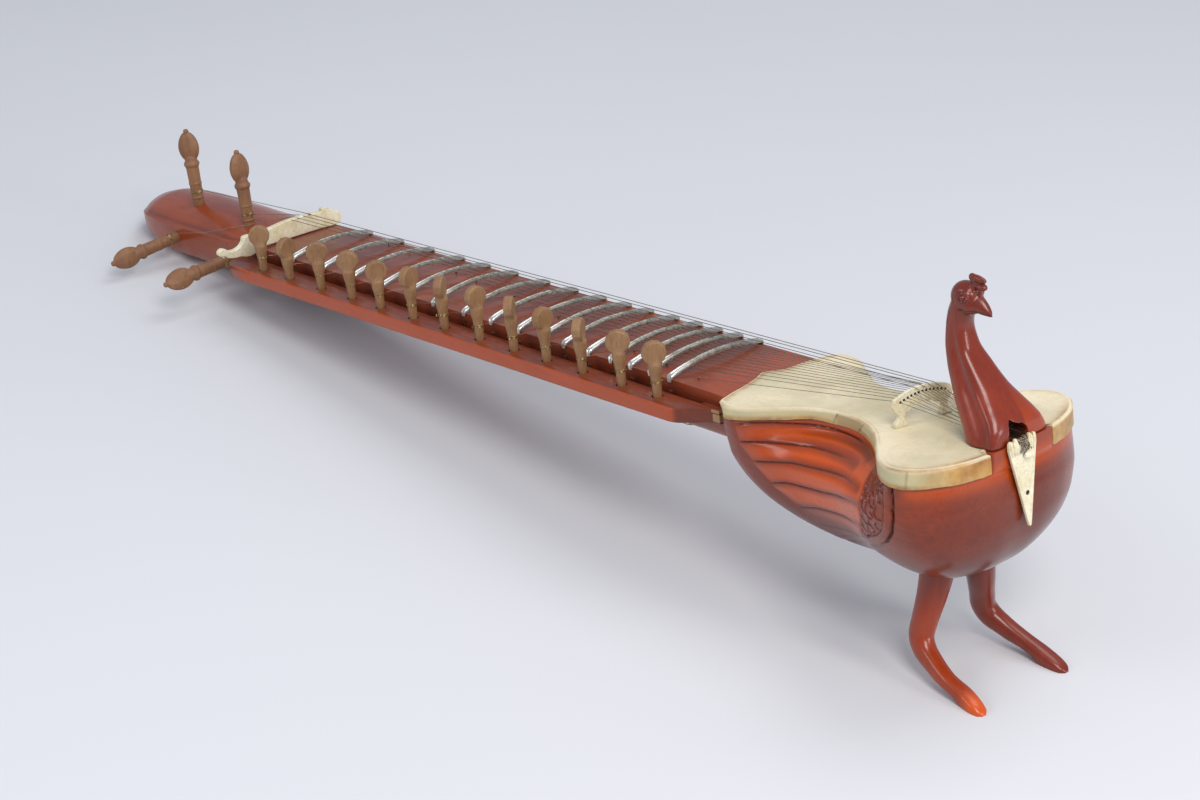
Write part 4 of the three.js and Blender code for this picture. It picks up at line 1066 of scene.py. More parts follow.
def build_fret(i, u0):
    r = np.random.default_rng(40 + i)
    b = neck_half(u0)
    half = 2.62
    line = []
    for w in np.linspace(-1.9, 0.2, 4):
        line.append([-(b + 0.45), w, -1, 0.05, 1.0])
    line += [[-(b + 0.2), 0.85, -0.86, 0.5, 1.5], [-(b - 0.7), 1.25, -0.5, 0.86, 2.3]]
    for v in np.linspace(-(b - 2.2), b - 2.2, 56):
        w = 1.05 + 5.6 * (1 - (v / b) ** 2)
        sl = -2 * 5.6 * v / b ** 2
        q = math.hypot(1, sl)
        line.append([v, w, -sl / q, 1 / q, 2.75])
    line += [[b - 0.6, 1.25, 0.6, 0.8, 2.3], [b + 0.25, 0.85, 0.92, 0.4, 1.9]]
    for w in np.linspace(0.2, -3.0, 5):
        line.append([b + 0.45, w, 1, 0.05, 1.55])
    prof = np.array([[-half, 0.02], [-half * 0.98, 0.42], [-half * 0.93, 0.74], [-2.15, 0.93], [-1.75, 1.0], [-1.3, 0.97],
                     [-0.8, 0.78], [0, 0.7], [0.8, 0.78], [1.3, 0.97], [1.75, 1.0], [2.15, 0.93], [half * 0.93, 0.74],
                     [half * 0.98, 0.42], [half, 0.02], [half * 0.6, -0.02], [0, 0.0], [-half * 0.6, -0.02]])
    rings, painted_highlight = [], []
    wx = 0.16 * wobble(np.arange(len(line)), 60 + i, 6)
    wz = 0.1 * wobble(np.arange(len(line)), 90 + i, 5)
    for k, (v, w, nv, nw, th) in enumerate(line):
        end = min(k, len(line) - 1 - k)
        pinch = 0.62 + 0.38 * min(1, end / 4)
        rings.append([[u0 + x * pinch + wx[k], v + nv * (y * th + (wz[k] if y > 0.5 else 0)),
                       w + nw * (y * th + (wz[k] if y > 0.5 else 0))] for x, y in prof])
        # painted highlight towards each end of the bar, stronger at the near end and on the top
        near = v < 0
        a = np.clip((abs(v) - (b - 22)) / 16, 0, 1)
        painted_highlight += [(0.9 if near else 0.4) * a * (0.4 + 0.6 * (y > 0.6)) for x, y in prof]
    parts = [grid(rings)]
    for off, ph in ((-1.0, 0.0), (0.95, 1.4)):
        sec = neck_section(u0, 0.95, 150)
        low = sec[sec[:, 1] < -2.2]
        k = np.argsort(np.arctan2(low[:, 1] + 20, low[:, 0]))
        low = low[k]
        # from the far side under the neck to the near side
        order = np.argsort(-np.unwrap(np.arctan2(low[:, 1] + 15, low[:, 0])))
        low = low[order]
        P = np.column_stack([np.full(len(low), u0 + off) + 0.22 * np.sin(np.linspace(0, 5, len(low)) + ph), low])
        parts.append(tube(P[::2], 0.3, 7))
    V, F = join(*parts)
    at = np.concatenate([np.array(painted_highlight), np.zeros(len(V) - len(painted_highlight))])
    make("fret_%02d_bar" % (i + 1), V, F, FRET, "fret_%02d" % (i + 1), ["fret_%02d" % (i + 1)], {"painted_highlight": at})


for i, u in enumerate(FRETS):
    build_fret(i, u)

# --------------------------------------------------------------------- ivory plates
NUT_LINE = [
    [43, 1.2], [45.5, 4], [46, 8.4], [43.5, 12.4], [39, 14.4], [36.5, 16], [32.6, 16.6],
    [30.5, 18.6], [27.5, 18.8], [26, 16.2], [13, 17.4], [0, 17.8], [-13, 17.4], [-27, 16],
    [-36, 14.8], [-44, 14.6], [-52, 15.8], [-56, 15], [-57.5, 11.4], [-61.5, 8],
    [-67, 6.6], [-73, 7.6], [-76, 10], [-79, 10.8], [-82, 9.2], [-82.6, 6.2],
    [-80.4, 4], [-76.4, 3.6], [-74, 1.4], [-68, -0.4], [-61, -1], [-56, -2.6], [-50, -3],
    [-45, -0.8], [-40, 1.3], [-20, 1.35], [0, 1.4], [20, 1.35]]
NUT_U, NUT_THICK = -537.0, 6.0


def build_nut():
    o = catmull(NUT_LINE, 5, closed=True)
    V, F = across(slab(o, NUT_U - NUT_THICK, NUT_U, 1.1, steps=4))
    g = np.zeros(len(V))
    for v in (-6, 0.5, 7, 13):
        g = np.maximum(g, np.exp(-((V[:, 1] - v) / 0.5) ** 2) * (V[:, 2] > 15.5))
    for v in (26.5, -20, 36):
        g = np.maximum(g, 0.35 * np.exp(-((V[:, 1] - v) / 0.35) ** 2))
    make("nut_ivory", V, F, IVORY, ROOT, ["nut"], {"dirt_and_shade": g})


build_nut()

BRIDGE_U, BRIDGE_V, BRIDGE_HALF, BRIDGE_HIGH = 209.0, -5.0, 23.0, 24.5
BRIDGE_FOOT = float(skin_top(BRIDGE_U)) + 0.35
BT = math.radians(11)


def bridge_arch(y):
    return BRIDGE_HIGH - 5.2 * (np.asarray(y, float) / BRIDGE_HALF) ** 2


def build_bridge():
    y = np.linspace(-BRIDGE_HALF, BRIDGE_HALF, 40)
    o = [[a, float(bridge_arch(a))] for a in y]
    right = catmull([[23.6, 17.4], [24.2, 14.5], [23.4, 12], [20.9, 9.4], [19.9, 7.2], [20.8, 4.4], [23.0, 2.0], [23.4, 0.5]], 5)
    left = catmull([[-23.8, 0.5], [-23.5, 2.2], [-20.9, 5], [-19.9, 7.4], [-20.8, 9.6], [-23.4, 12], [-24.2, 14.5], [-23.6, 17.4]], 5)
    o += right.tolist() + [[23.2, 0], [14, 0], [14.1, 1.6], [14.2, 3], [15.0, 4.4], [15.6, 5.6], [15.2, 7.4]]
    arch = [[a, 8.6 + 4.2 * (1 - (a / 14.6) ** 2) + 0.5 * math.cos(a * 0.86)] for a in np.linspace(14.4, -14.4, 40)]
    o += arch + [[-15.2, 7.4], [-15.6, 5.6], [-15.0, 4.4], [-14.2, 3], [-13.6, 1.4], [-13, 0], [-23.4, 0]] + left.tolist()
    holes = [circle((6 - i) * 3.05, float(bridge_arch((6 - i) * 3.05)) - 4.1, 0.78, 16) for i in range(13)]
    V, F = across(slab(o, -1.6, 1.6, 0.35, holes, steps=3))
    # the beam leans a little thinner at the top, the feet spread along the skin
    foot = 1 - smoothstep(0, 7, V[:, 2])
    top = smoothstep(14, 23, V[:, 2])
    V = V.copy()
    V[:, 0] *= 1 + 0.55 * foot - 0.22 * top
    x, yv = V[:, 0].copy(), V[:, 1].copy()
    V[:, 0] = BRIDGE_U + x * math.cos(BT) + yv * math.sin(BT)
    V[:, 1] = BRIDGE_V - x * math.sin(BT) + yv * math.cos(BT)
    V[:, 2] += BRIDGE_FOOT
    # painted shade inside the string holes
    g = np.zeros(len(V))
    for i in range(13):
        a = (6 - i) * 3.05
        d = np.hypot(yv - a, V[:, 2] - BRIDGE_FOOT - (float(bridge_arch(a)) - 4.1))
        g = np.maximum(g, (d < 0.95) * 1.0)
    make("bridge_ivory", V, F, IVORY, ROOT, ["bridge"], {"dirt_and_shade": g})


build_bridge()


def build_tail():
    o = [[-1.1, -50], [-0.4, -51.2], [0.4, -51.4], [1.2, -50.6], [1.6, -49.5]]
    o += [[1.6 + 11.6 * t, -49.5 + 54 * t] for t in np.linspace(0.08, 1, 14)]
    o += [[13.3, 6.5], [13.1, 9.2], [12.2, 10.2], [11, 10.1], [10.4, 9.2], [10.2, 6.9], [9.7, 6.2], [9.2, 6.7], [8.9, 9.8], [8.0, 10.9], [6.8, 10.9], [6.0, 9.8],
          [5.7, 7.3], [5.0, 6.7], [3.0, 6.4], [0, 6.3], [-3.0, 6.5], [-4.4, 7.2], [-4.7, 10.0], [-5.4, 11.0], [-6.6, 10.9], [-7.3, 9.8], [-7.6, 7.2], [-8.2, 6.5], [-8.8, 7.1],
          [-9.2, 9.4], [-10.0, 10.3], [-11.6, 10.1], [-12.6, 9.2], [-13.1, 7.0], [-13.2, 4.5]]
    o += [[-13.2 + 12.0 * t, 4.5 - 54.5 * t] for t in np.linspace(0.08, 0.92, 12)]
    V, F = slab(o, 0, 2.4, 0.5, [circle(0.2, -28, 1.45, 20)], steps=3)
    x, y, z = V[:, 0], V[:, 1], V[:, 2]
    # painted shade in the hole; a dark patch round the bead and the wire ends
    g = 0.95 * (np.hypot(x - 0.2, y + 28) < 1.7)
    g = np.maximum(g, 0.8 * np.exp(-((np.hypot(x - 0.4, (y - 1.0) * 0.8)) / 2.6) ** 2))
    lean = math.radians(-3.8)
    P = np.column_stack([289.3 + math.sin(lean) * y + math.cos(lean) * z, 0.5 + x, math.cos(lean) * y - math.sin(lean) * z])
    make("tailpiece_ivory", P, F, IVORY, ROOT, ["tailpiece"], {"dirt_and_shade": g})
    # the teeth's grooves run down the face: raised fingers laid on the head of the plate
    fingers = []
    for x0 in (-11.2, -8.2, -5.9, 5.9, 8.3, 10.9):
        pts = [[x0 * (1 - 0.012 * k), 9.6 - 1.45 * k] for k in range(8)]
        c = np.array([[289.3 + math.sin(lean) * b + math.cos(lean) * 2.35, 0.5 + a, math.cos(lean) * b - math.sin(lean) * 2.35] for a, b in pts])
        fingers.append(tube(c, [0.6, 1.15, 1.3, 1.35, 1.35, 1.25, 0.95, 0.4], 12))
    V2, F2 = join(*fingers)
    make("tailpiece_fingers", V2, F2, IVORY, ROOT, attrs={"dirt_and_shade": np.zeros(len(V2))})
    # an ivory bead caught among the wire ends
    bead = lathe([[0.2, -2.0], [1.6, -1.8], [2.7, -0.9], [3.0, 0.3], [2.5, 1.5], [1.3, 2.1], [0.2, 2.2]], 28)
    m = Matrix.Translation(Vector((293.3, 2.6, -2.0))) @ Matrix.Rotation(0.5, 4, "Y") @ Matrix.Diagonal((0.85, 1.15, 1.0, 1))
    Vb, Fb = moved(bead, m)
    make("tail_bead", Vb, Fb, IVORY, ROOT, attrs={"dirt_and_shade": np.zeros(len(Vb))})
    # loose ends of the strings, knotted over the head of the plate
    r = np.random.default_rng(5)
    ends = []
    for k in range(19):
        a = np.array([288.8, 0.8 + r.uniform(-7, 7), 9.6 + r.uniform(-0.6, 1.0)])
        pts = [a]
        b = np.array([292.6, 1.2 + r.uniform(-4, 5), 5.0 + r.uniform(-2, 2)])
        pts.append((a + b) / 2 + [1.2, 0, 1.0])
        pts.append(b)
        for q in range(4):
            b = b + np.array([r.uniform(-0.5, 0.45), r.uniform(-1.9, 1.9), r.uniform(-2.4, 0.7)])
            b[0] = min(max(b[0], 292.2), 294.4)
            pts.append(b)
        ends.append(tube(catmull(pts, 6), 0.22, 6))
    V3, F3 = join(*ends)
    make("string_ends", V3, F3, WIRE, ROOT)


build_tail()


# ------------------------------------------------------------------ the bird's neck
BIRD = np.array([
    [1.2, 248.8, 277.4, 287.2, 28.7, 5, 4.4],
    [4.6, 248.5, 277, 287, 28.5, 5, 4.4], [10, 247.5, 275.5, 287.6, 27.6, 5, 4.2],
    [16, 245, 272, 287.6, 25.6, 4.6, 4], [22, 241.5, 268, 285.6, 23, 4.1, 3.5],
    [30, 238, 262, 279.6, 19.6, 3.5, 2.8], [40, 235, 255, 271.4, 15.8, 3, 2],
    [53, 232.4, 248.5, 261.4, 12.6, 3.2, 1], [66, 231.8, 244, 253.2, 10.2, 2.6, 0.3],
    [79, 233.0, 243, 250.6, 9.2, 2.2, 0], [88, 234.8, 245, 253, 9.2, 2, 0], [97, 238.6, 248, 256, 8.4, 2, 0]])


def bird_ring(w, n=120):
    _, back, wide, front, half, square, mid = [0.0] + [float(pchip(BIRD[:, 0], BIRD[:, c], [w])[0]) for c in range(1, 7)]
    a = np.linspace(0, 2 * np.pi, n, endpoint=False)
    c, s = np.cos(a), np.sin(a)
    e = np.where(c > 0, 2 / square, 1.0)
    x = np.where(c > 0, front - wide, wide - back) * np.sign(c) * np.abs(c) ** e
    y = half * np.sign(s) * np.abs(s) ** e
    # a shallow flute runs up each side behind the front ridge, and the front is hollowed a little
    low = 1 - smoothstep(60, 92, w)
    aa = np.abs(((a + np.pi) % (2 * np.pi)) - np.pi)
    flute = np.exp(-((aa - 1.5) / 0.24) ** 2) * 1.7 * low
    swell = np.exp(-((aa - 2.15) / 0.3) ** 2) * 0.9 * low
    hollow = np.exp(-(aa / 0.42) ** 2) * 0.5 * low
    r = np.maximum(np.hypot(x, y), 1e-6)
    k = 1 + (-flute + swell - hollow) / r
    return np.column_stack([wide + x * k, mid + y * k, np.full(n, w)])


def ball(c, r, n=32, turn=None):
    pr = [[math.sin(t), -math.cos(t)] for t in np.linspace(0.04, math.pi - 0.04, n // 2)]
    V, F = lathe(pr, n)
    V = V * np.array(r)
    if turn is not None:
        V = V @ np.array(Matrix.Rotation(turn, 3, "Y")).T
    return V + np.array(c), F


def build_bird():
    ws = np.concatenate([np.linspace(1.2, 10, 10), np.linspace(11, 96, 80)])
    neck = grid([bird_ring(w) for w in ws])
    head = ball((249.2, 0, 98.4), (11.4, 9.3, 11.2), 40)
    cheek = ball((253.5, 0, 94.5), (8.4, 8.3, 7.0), 32)
    bill = []
    us = [248, 252, 256, 260, 263.5, 266.5, 269, 270.6]
    tops = [106.5, 105.6, 104.2, 102.2, 99.6, 96.6, 93.0, 89.6]
    lows = [90.5, 90.2, 89.6, 89.0, 88.6, 88.4, 88.3, 88.4]
    half = [8.4, 7.8, 6.9, 5.8, 4.6, 3.3, 1.9, 0.4]
    for u, t, l, h in zip(us, tops, lows, half):
        a = np.linspace(0, 2 * np.pi, 28, endpoint=False)
        c, s = np.cos(a), np.sin(a)
        e = 1.25
        bill.append(np.column_stack([np.full(28, u), h * np.sign(c) * np.abs(c) ** e * (1 - 0.25 * (s > 0) * s), (t + l) / 2 + (t - l) / 2 * np.sign(s) * np.abs(s) ** 0.9]))
    bill = grid(catmull_rings(bill, 4))
    lobe1 = moved(ball((0, 0, 0), (2.4, 2.6, 7.4), 24), Matrix.Translation(Vector((259.4, 0.2, 112.6))) @ Matrix.Rotation(math.radians(100), 4, "Y"))
    lobe1b = ball((254.6, 0.2, 113.0), (2.5, 2.5, 2.7), 20)
    lobe2 = moved(ball((0, 0, 0), (2.7, 3.2, 5.4), 24), Matrix.Translation(Vector((261.8, -0.2, 107.8))) @ Matrix.Rotation(math.radians(98), 4, "Y"))
    root = ball((257.0, 0, 108.0), (4.4, 3.0, 4.0), 24)
    lids = [ball((253.0, sgn * 8.1, 100.7), (3.4, 1.9, 3.1), 24) for sgn in (-1, 1)]
    # the tunnel for the strings: ragged, low and wide
    rr = np.random.default_rng(9)
    tun = []
    for u, h, top in ((232, 18, 22.5), (240, 17, 22.5), (252, 14.6, 22.3), (264, 12.2, 22.2), (276, 10.0, 22.2), (284, 8.8, 22.2), (298, 8.6, 22.4)):
        y = np.array([1, 1.02, 0.93, 0.74, 0.5, 0.2, -0.15, -0.45, -0.7, -0.9, -1.0, -1, -0.6, -0.2, 0.2, 0.6])
        z = np.array([0, 0.3, 0.46, 0.6, 0.7, 0.74, 0.8, 0.92, 1.08, 0.8, 0.36, 0, 0, 0, 0, 0])
        k = 1 + 0.05 * rr.uniform(-1, 1, len(y))
        tun.append(np.column_stack([np.full(len(y), u), 1.5 + h * y * k, 7.0 + (top - 7.0) * z * np.where(z > 0, k, 1)]))
    V, F = solidify([neck, head, cheek, bill, lobe1, lobe1b, lobe2, root, *lids], 0.62, [grid(tun)], smooth=3, factor=0.5)
    # sharpen what the melt rounded: eye rings, beak line, crest furrows
    N = vertex_normals(V, F)
    out = np.zeros(len(V))
    g = np.zeros(len(V))
    uw = V[:, [0, 2]]
    side = smoothstep(0.15, 0.5, np.abs(N[:, 1]))
    eye = np.hypot(uw[:, 0] - 253.0, uw[:, 1] - 100.8)
    at_eye = (V[:, 2] > 90) * side
    out += (0.55 * np.exp(-((eye - 3.1) / 0.55) ** 2) - 0.75 * np.exp(-((eye - 2.3) / 0.5) ** 2) + 0.5 * np.exp(-(eye / 1.5) ** 2) - 0.25 * np.exp(-((eye - 4.3) / 0.8) ** 2)) * at_eye
    g += (0.9 * np.exp(-((eye - 2.35) / 0.42) ** 2) + 0.15 * np.exp(-((eye - 4.1) / 0.5) ** 2)) * at_eye
    brow = line_distance(uw, [[247.5, 103.6], [250.5, 105.4], [254.5, 105.2], [257.5, 102.4], [258.6, 98.6]])[0]
    out += 0.4 * np.exp(-(brow / 1.1) ** 2) * at_eye
    d, t, _ = line_distance(uw, [[249.0, 92.2], [254, 91.0], [259, 91.2], [264.5, 91.0], [269.8, 89.6]])
    out -= 0.6 * np.exp(-(d / 0.55) ** 2) * (V[:, 2] > 85)
    g += 0.75 * np.exp(-(d / 0.5) ** 2) * (V[:, 2] > 85)
    d2, _, _ = line_distance(uw, [[253.8, 109.6], [258.2, 110.4], [262.4, 110.2], [266.5, 110.0]])
    out -= 0.55 * np.exp(-(d2 / 0.6) ** 2)
    g += 0.6 * np.exp(-(d2 / 0.7) ** 2) * (V[:, 2] > 100)
    d3, _, _ = line_distance(uw, [[256.2, 104.6], [259.6, 105.0], [264.5, 104.6]])
    out -= 0.4 * np.exp(-(d3 / 0.5) ** 2) * (V[:, 2] > 104)
    g += 0.5 * np.exp(-(d3 / 0.5) ** 2) * (V[:, 2] > 106)
    V = V + N * out[:, None]
    under = skin_top(V[:, 0]) + 0.12
    V[:, 2] = np.where(V[:, 2] < under + 0.4, under, V[:, 2])
    # painted shade inside the tunnel; a dark line along the foot where it meets the skin
    mid = (np.abs(V[:, 1] - 1.5) < 14) & (V[:, 2] > 4) & (V[:, 2] < 25) & (V[:, 0] > 240) & (V[:, 0] < 291)
    facing = (N[:, 0] < 0.55)
    g = np.where(mid & facing & (V[:, 0] < 285.3) & (V[:, 0] > 249), np.maximum(g, 0.55), g)
    tone = 0.3 * (1 - smoothstep(10, 48, V[:, 2])) * (V[:, 1] > 8)
    # a darker head, and painted shade on the throat under the bill
    tone = tone - 0.35 * smoothstep(80, 100, V[:, 2]) - 0.3 * np.exp(-((V[:, 2] - 86) / 8) ** 2) * (V[:, 0] > 246)
    # painted shade on the sides turned away from the key light
    tone = tone - 0.25 * smoothstep(0.0, 0.8, -N[:, 0]) * smoothstep(30, 60, V[:, 2])
    g = np.maximum(g, 0.7 * np.exp(-((V[:, 2] - under) / 0.5) ** 2))
    make("peacock_head_neck", V, F, WOOD_Z, ROOT, ["peacock_neck"],
         {"dirt_and_shade": np.clip(g, 0, 1), "tone": np.clip(tone, -1, 1)})


def catmull_rings(rings, per):
    R = np.array(rings)
    M, N, _ = R.shape
    flat = catmull(R.reshape(M, -1), per)
    return flat.reshape(-1, N, 3)


def vertex_normals(V, F):
    N = np.zeros_like(V)
    T = []
    for f in F:
        T.append([f[0], f[1], f[2]])
        if len(f) == 4:
            T.append([f[0], f[2], f[3]])
    T = np.array(T)
    n = np.cross(V[T[:, 1]] - V[T[:, 0]], V[T[:, 2]] - V[T[:, 0]])
    for k in range(3):
        np.add.at(N, T[:, k], n)
    vol = np.einsum("ij,ij->i", V[T[:, 0]], n).sum()
    N /= np.maximum(np.linalg.norm(N, axis=1, keepdims=True), 1e-12)
    return N if vol > 0 else -N


build_bird()


# ---------------------------------------------------------------------------- legs
def build_leg(name, node, s, toe):
    PATH = np.array([
        [232, 15, -72, 12.8, 11.2], [231, 16, -82, 12.6, 11], [230, 18, -96, 12.6, 10.6], [227.5, 22.5, -113, 11, 9.4],
        [223.9, 28, -129, 9.6, 8.6], [221.8, 31.2, -141, 9.3, 8.2], [225.6, 33.3, -148.6, 8.7, 7.8],
        [236, 35.8, -155.6, 6.9, 6.8], [251, 38.6, -163.8, 6.1, 6.3], [265, 40.8 * toe, -171.2, 6.3, 6.8],
        [276, 42 * toe, -176, 4.9, 6.1], [280.6, 42.3 * toe, -177.8, 3.2, 4.6], [283.0, 42.4 * toe, -178.6, 1.1, 1.6]])
    if s < 0:
        PATH[:4, 0] -= [3.0, 3.2, 3.4, 2.6]
        PATH[4:6, 0] -= [1.0, 0.2]
    else:
        PATH[:4, 0] += [1.2, 1.2, 1.4, 1.0]
        PATH[9:, 0] += [0.8, 1.4, 1.8, 2.0]
        PATH[9:, 2] -= 0.15
    Q = catmull(PATH, 12)
    n = 56
    C = np.column_stack([Q[:, 0], s * Q[:, 1], Q[:, 2]])
    d = np.gradient(C, axis=0)
    d /= np.linalg.norm(d, axis=1, keepdims=True)
    rings, tones, dirt_and_shade_rows = [], [], []
    a = np.linspace(0, 2 * np.pi, n, endpoint=False)
    M = len(Q)
    for j, (c, t, q) in enumerate(zip(C, d, Q)):
        side = np.array([0, 1.0, 0]) - t * t[1]
        side /= np.linalg.norm(side)
        front = np.cross(side, t)
        along = j / (M - 1)
        # rounded square section on the foot, with a soft ridge along its top
        e = 1.0 - 0.14 * smoothstep(0.45, 0.7, along)
        x = np.sign(np.cos(a)) * np.abs(np.cos(a)) ** e * q[3]
        y = np.sign(np.sin(a)) * np.abs(np.sin(a)) ** e * q[4]
        facet = 1 - 0.03 * np.cos(4 * a) * smoothstep(0.4, 0.6, along)
        ring = c + (x * facet)[:, None] * front + (y * facet)[:, None] * side
        # the sole is flat on the floor, and notched before the heel
        fl = floor_w(ring[:, 0]) + 0.02
        ring[:, 2] = np.maximum(ring[:, 2], fl)
        heel = np.exp(-((ring[:, 0] - 261.0) / 1.2) ** 2) * (ring[:, 2] < c[2] - 1.0)
        arch = (1 - smoothstep(260.2, 262.4, ring[:, 0])) * smoothstep(238, 256, ring[:, 0])
        lowpart = np.clip((c[2] - ring[:, 2]) / 6.0, 0, 1)
        ring[:, 2] += 3.2 * arch * lowpart
        rings.append(ring)
        # the orange toe tips are the wood's own colour; the near leg's lighter lower part, its stronger toe and the far
        # leg's darker tone are painted light and shade
        tip = smoothstep(262, 279, ring[:, 0]) * (0.95 if s < 0 else 0.25)
        tones.append(np.clip(tip * 1.0 + 0.2 * (s < 0) * (1 - smoothstep(-128, -100, ring[:, 2])) - 0.35 * (s > 0), -1, 1))
        # painted shade in the heel notch and along the sole on the floor
        dirt_and_shade_rows.append(np.clip(0.7 * heel + 0.5 * (ring[:, 2] < fl + 0.3), 0, 1))
    V, F = grid(rings)
    pad = lambda k: np.concatenate([np.array(k).ravel(), [0, 0]])
    make(name, V, F, WOOD_Z, ROOT, [node], {"tone": pad(tones), "dirt_and_shade": pad(dirt_and_shade_rows)})


build_leg("leg_near_carved", "leg_near", -1, 0.93)
build_leg("leg_far_carved", "leg_far", 1, 1.0)


# ---------------------------------------------------------------------------- pegs
def small_peg_mesh(seed):
    r = np.random.default_rng(seed)
    shaft = lathe([[0.1, -14], [2.7, -13.9], [2.9, -13], [3.35, -3], [3.5, 0], [3.6, 6], [3.75, 10], [4.2, 13.2], [4.9, 16.2],
                   [5.2, 19.4], [5.25, 21.4], [4.9, 22.6], [4.0, 23.6], [3.6, 26], [0.1, 26.4]], 40)
    k = 11
    off = r.uniform(0, 1)
    a = np.linspace(0, 2 * np.pi, 88, endpoint=False)
    seg = 2 * np.pi / k
    ph = (a + off * seg) % seg - seg / 2
    R = 9.15 * np.cos(seg / 2) / np.cos(ph)
    R = 0.85 * R + 0.15 * 9.1
    R = R * (1 + 0.012 * np.sin(2 * a + off * 6))
    rings = []
    for x, q in ((-3.45, 0.02), (-3.5, 0.55), (-3.45, 0.86), (-3.25, 0.945), (-2.8, 0.985), (-2.0, 1.0), (0, 1.0), (2.0, 1.0), (2.8, 0.985), (3.25, 0.945), (3.45, 0.86), (3.5, 0.55), (3.45, 0.02)):
        rings.append(np.column_stack([np.full(88, x), R * q * np.cos(a), 30.9 + R * q * 0.985 * np.sin(a)]))
    head = grid(rings)
    # wedge that carries the flat head down into the round shoulder
    w = []
    for z, hx, hy in ((20.2, 5.1, 5.1), (22, 4.7, 5.4), (24, 4.0, 5.9), (26.5, 3.5, 6.4), (30, 3.35, 6.6)):
        t = np.linspace(0, 2 * np.pi, 36, endpoint=False)
        w.append(np.column_stack([hx * np.sign(np.cos(t)) * np.abs(np.cos(t)) ** 0.8, hy * np.sign(np.sin(t)) * np.abs(np.sin(t)) ** 0.8, np.full(36, z)]))
    return solidify([shaft, head, grid(w)], 0.42, smooth=1, factor=0.35)


def coil(radius, z0, turns, pitch, r=0.2, n=26, lead=None):
    t = np.linspace(0, turns * 2 * np.pi, int(turns * n))
    P = np.column_stack([radius * np.cos(t), radius * np.sin(t), z0 + pitch * t / (2 * np.pi)])
    return tube(P, r, 6)


for i, u in enumerate(PEGS):
    turn = -math.radians(FACE) + math.radians(PEG_TURN[i])
    m = placer((u, PEG_V, RAIL_TOP + PEG_SITS[i]), (0, 0, 1), turn)
    body = "peg_%02d" % (i + 1)
    V, F = moved(small_peg_mesh(100 + i), m)
    make("peg_%02d_turned" % (i + 1), V, F, PEG_W, body, [body])
    mz = placer((u, PEG_V, 0), (0, 0, 1), 0.6 * i)
    w1 = coil(3.95, 1.2, 4.0, 0.5, 0.17)
    w2 = coil(4.05, 2.9, 1.6, -0.6, 0.16)
    end = tube(catmull([[4.0, 0.5, 2.0], [4.9, 1.1, 2.6], [5.1, 2.0, 1.6], [4.6, 2.5, 0.6]], 6), 0.16, 6)
    V, F = moved(join(w1, w2, end), mz)
    make("peg_%02d_winding" % (i + 1), V, F, BRASS, body)

MAIN = {
    "a": ([-680, -12.5, 10.6], [-0.05, 0, 1], -8), "b": ([-593.5, -15, 4.4], [-0.055, 0, 1], 42),
    "c": ([-679, -42, -13.2], [0, -1, -0.1], 12), "d": ([-580, -47.6, -14.4], [0, -1, -0.07], 30)}


def main_peg_mesh(key, deep):
    shaft = lathe([
        [0.1, -deep], [4.3, -deep], [5.0, 0], [5.1, 5], [5.5, 5.4], [5.9, 6.0], [5.5, 6.8], [5.35, 7.4], [5.35, 12], [5.5, 18], [5.75, 18.5],
        [6.05, 19.2], [5.7, 20.0], [5.55, 20.6], [5.7, 28], [5.85, 34.6], [6.3, 35.2], [6.95, 36.2], [7.1, 37.2], [7.0, 38.4], [6.3, 39.4],
        [5.9, 40.0], [5.6, 40.8], [5.5, 42.0], [5.4, 43.2], [4.0, 46], [0.1, 47]], 44)
    # a flattened oval head, cut with long facets like a melon
    n = 64
    a = np.linspace(0, 2 * np.pi, n, endpoint=False)
    rings = []
    for t in np.linspace(0.02, 0.985, 30):
        z = 41.0 + 25.8 * t
        prof = math.sin(math.pi * (0.06 + 0.92 * t) ** 0.92) ** 0.46
        k = 8
        seg = 2 * np.pi / k
        ph = (a + seg / 2) % seg - seg / 2
        R = np.cos(seg / 2) / np.cos(ph)
        R = 0.75 * R + 0.25
        rings.append(np.column_stack([5.15 * prof * R * np.cos(a), 9.9 * prof * R * np.sin(a), np.full(n, z)]))
    head = grid(rings)
    button = lathe([[0.1, 64.5], [2.0, 65], [1.7, 66.2], [2.3, 67.0], [2.5, 67.9], [2.1, 69.0], [1.1, 69.7], [0.1, 69.8]], 28)
    return solidify([shaft, head, button], 0.5, smooth=1, factor=0.35)


for key, (at, dr, tn) in MAIN.items():
    up = dr[2] > 0.5
    q = math.radians(-FACE + tn if up else tn)
    m = placer(at, dr, q)
    body = "main_peg_" + key
    V, F = moved(main_peg_mesh(key, 14 if up else 19), m)
    make("main_peg_%s_turned" % key, V, F, MAIN_W, body, [body])
    z = 11.6 if up else 7.8
    w1 = coil(5.62, z - 1.2, 5.0, 0.5, 0.25)
    w2 = coil(5.85, z - 0.4, 2.5, 0.4, 0.23)
    end = tube(catmull([[5.7, 0.3, z], [6.6, 1.0, z + 0.9], [6.9, 2.2, z - 0.2], [6.1, 3.0, z - 1.4]], 6), 0.2, 6)
    V, F = moved(join(w1, w2, end), m)
    make("main_peg_%s_winding" % key, V, F, BRASS, body)

# ---------------------------------------------------------- small pins in the neck
LANES = []
for i, u in enumerate(EDGE_U):
    v = 32.5 - 5.45 * i
    edge = -neck_half(u) - 0.1
    LANES.append(((u, edge), (u + 0.8 * (v - edge), v)))
pins = []
for _, (u, v) in LANES:
    pins.append(moved(lathe([[0.05, -0.6], [0.62, -0.6], [0.6, 1.4], [0.78, 1.7], [0.8, 2.0], [0.5, 2.3], [0.05, 2.35]], 14), Matrix.Translation(Vector((u, v - 1.4, 0.5)))))
Vp, Fp = join(*pins)
make("turning_pins", Vp, Fp, BRASS, ROOT)

# ------------------------------------------------------------------------- strings
def bridge_point(v, w):
    y = v - BRIDGE_V
    return [BRIDGE_U + y * math.sin(BT), BRIDGE_V + y * math.cos(BT), w]


def hole_y(i):
    return (6 - i) * 3.05


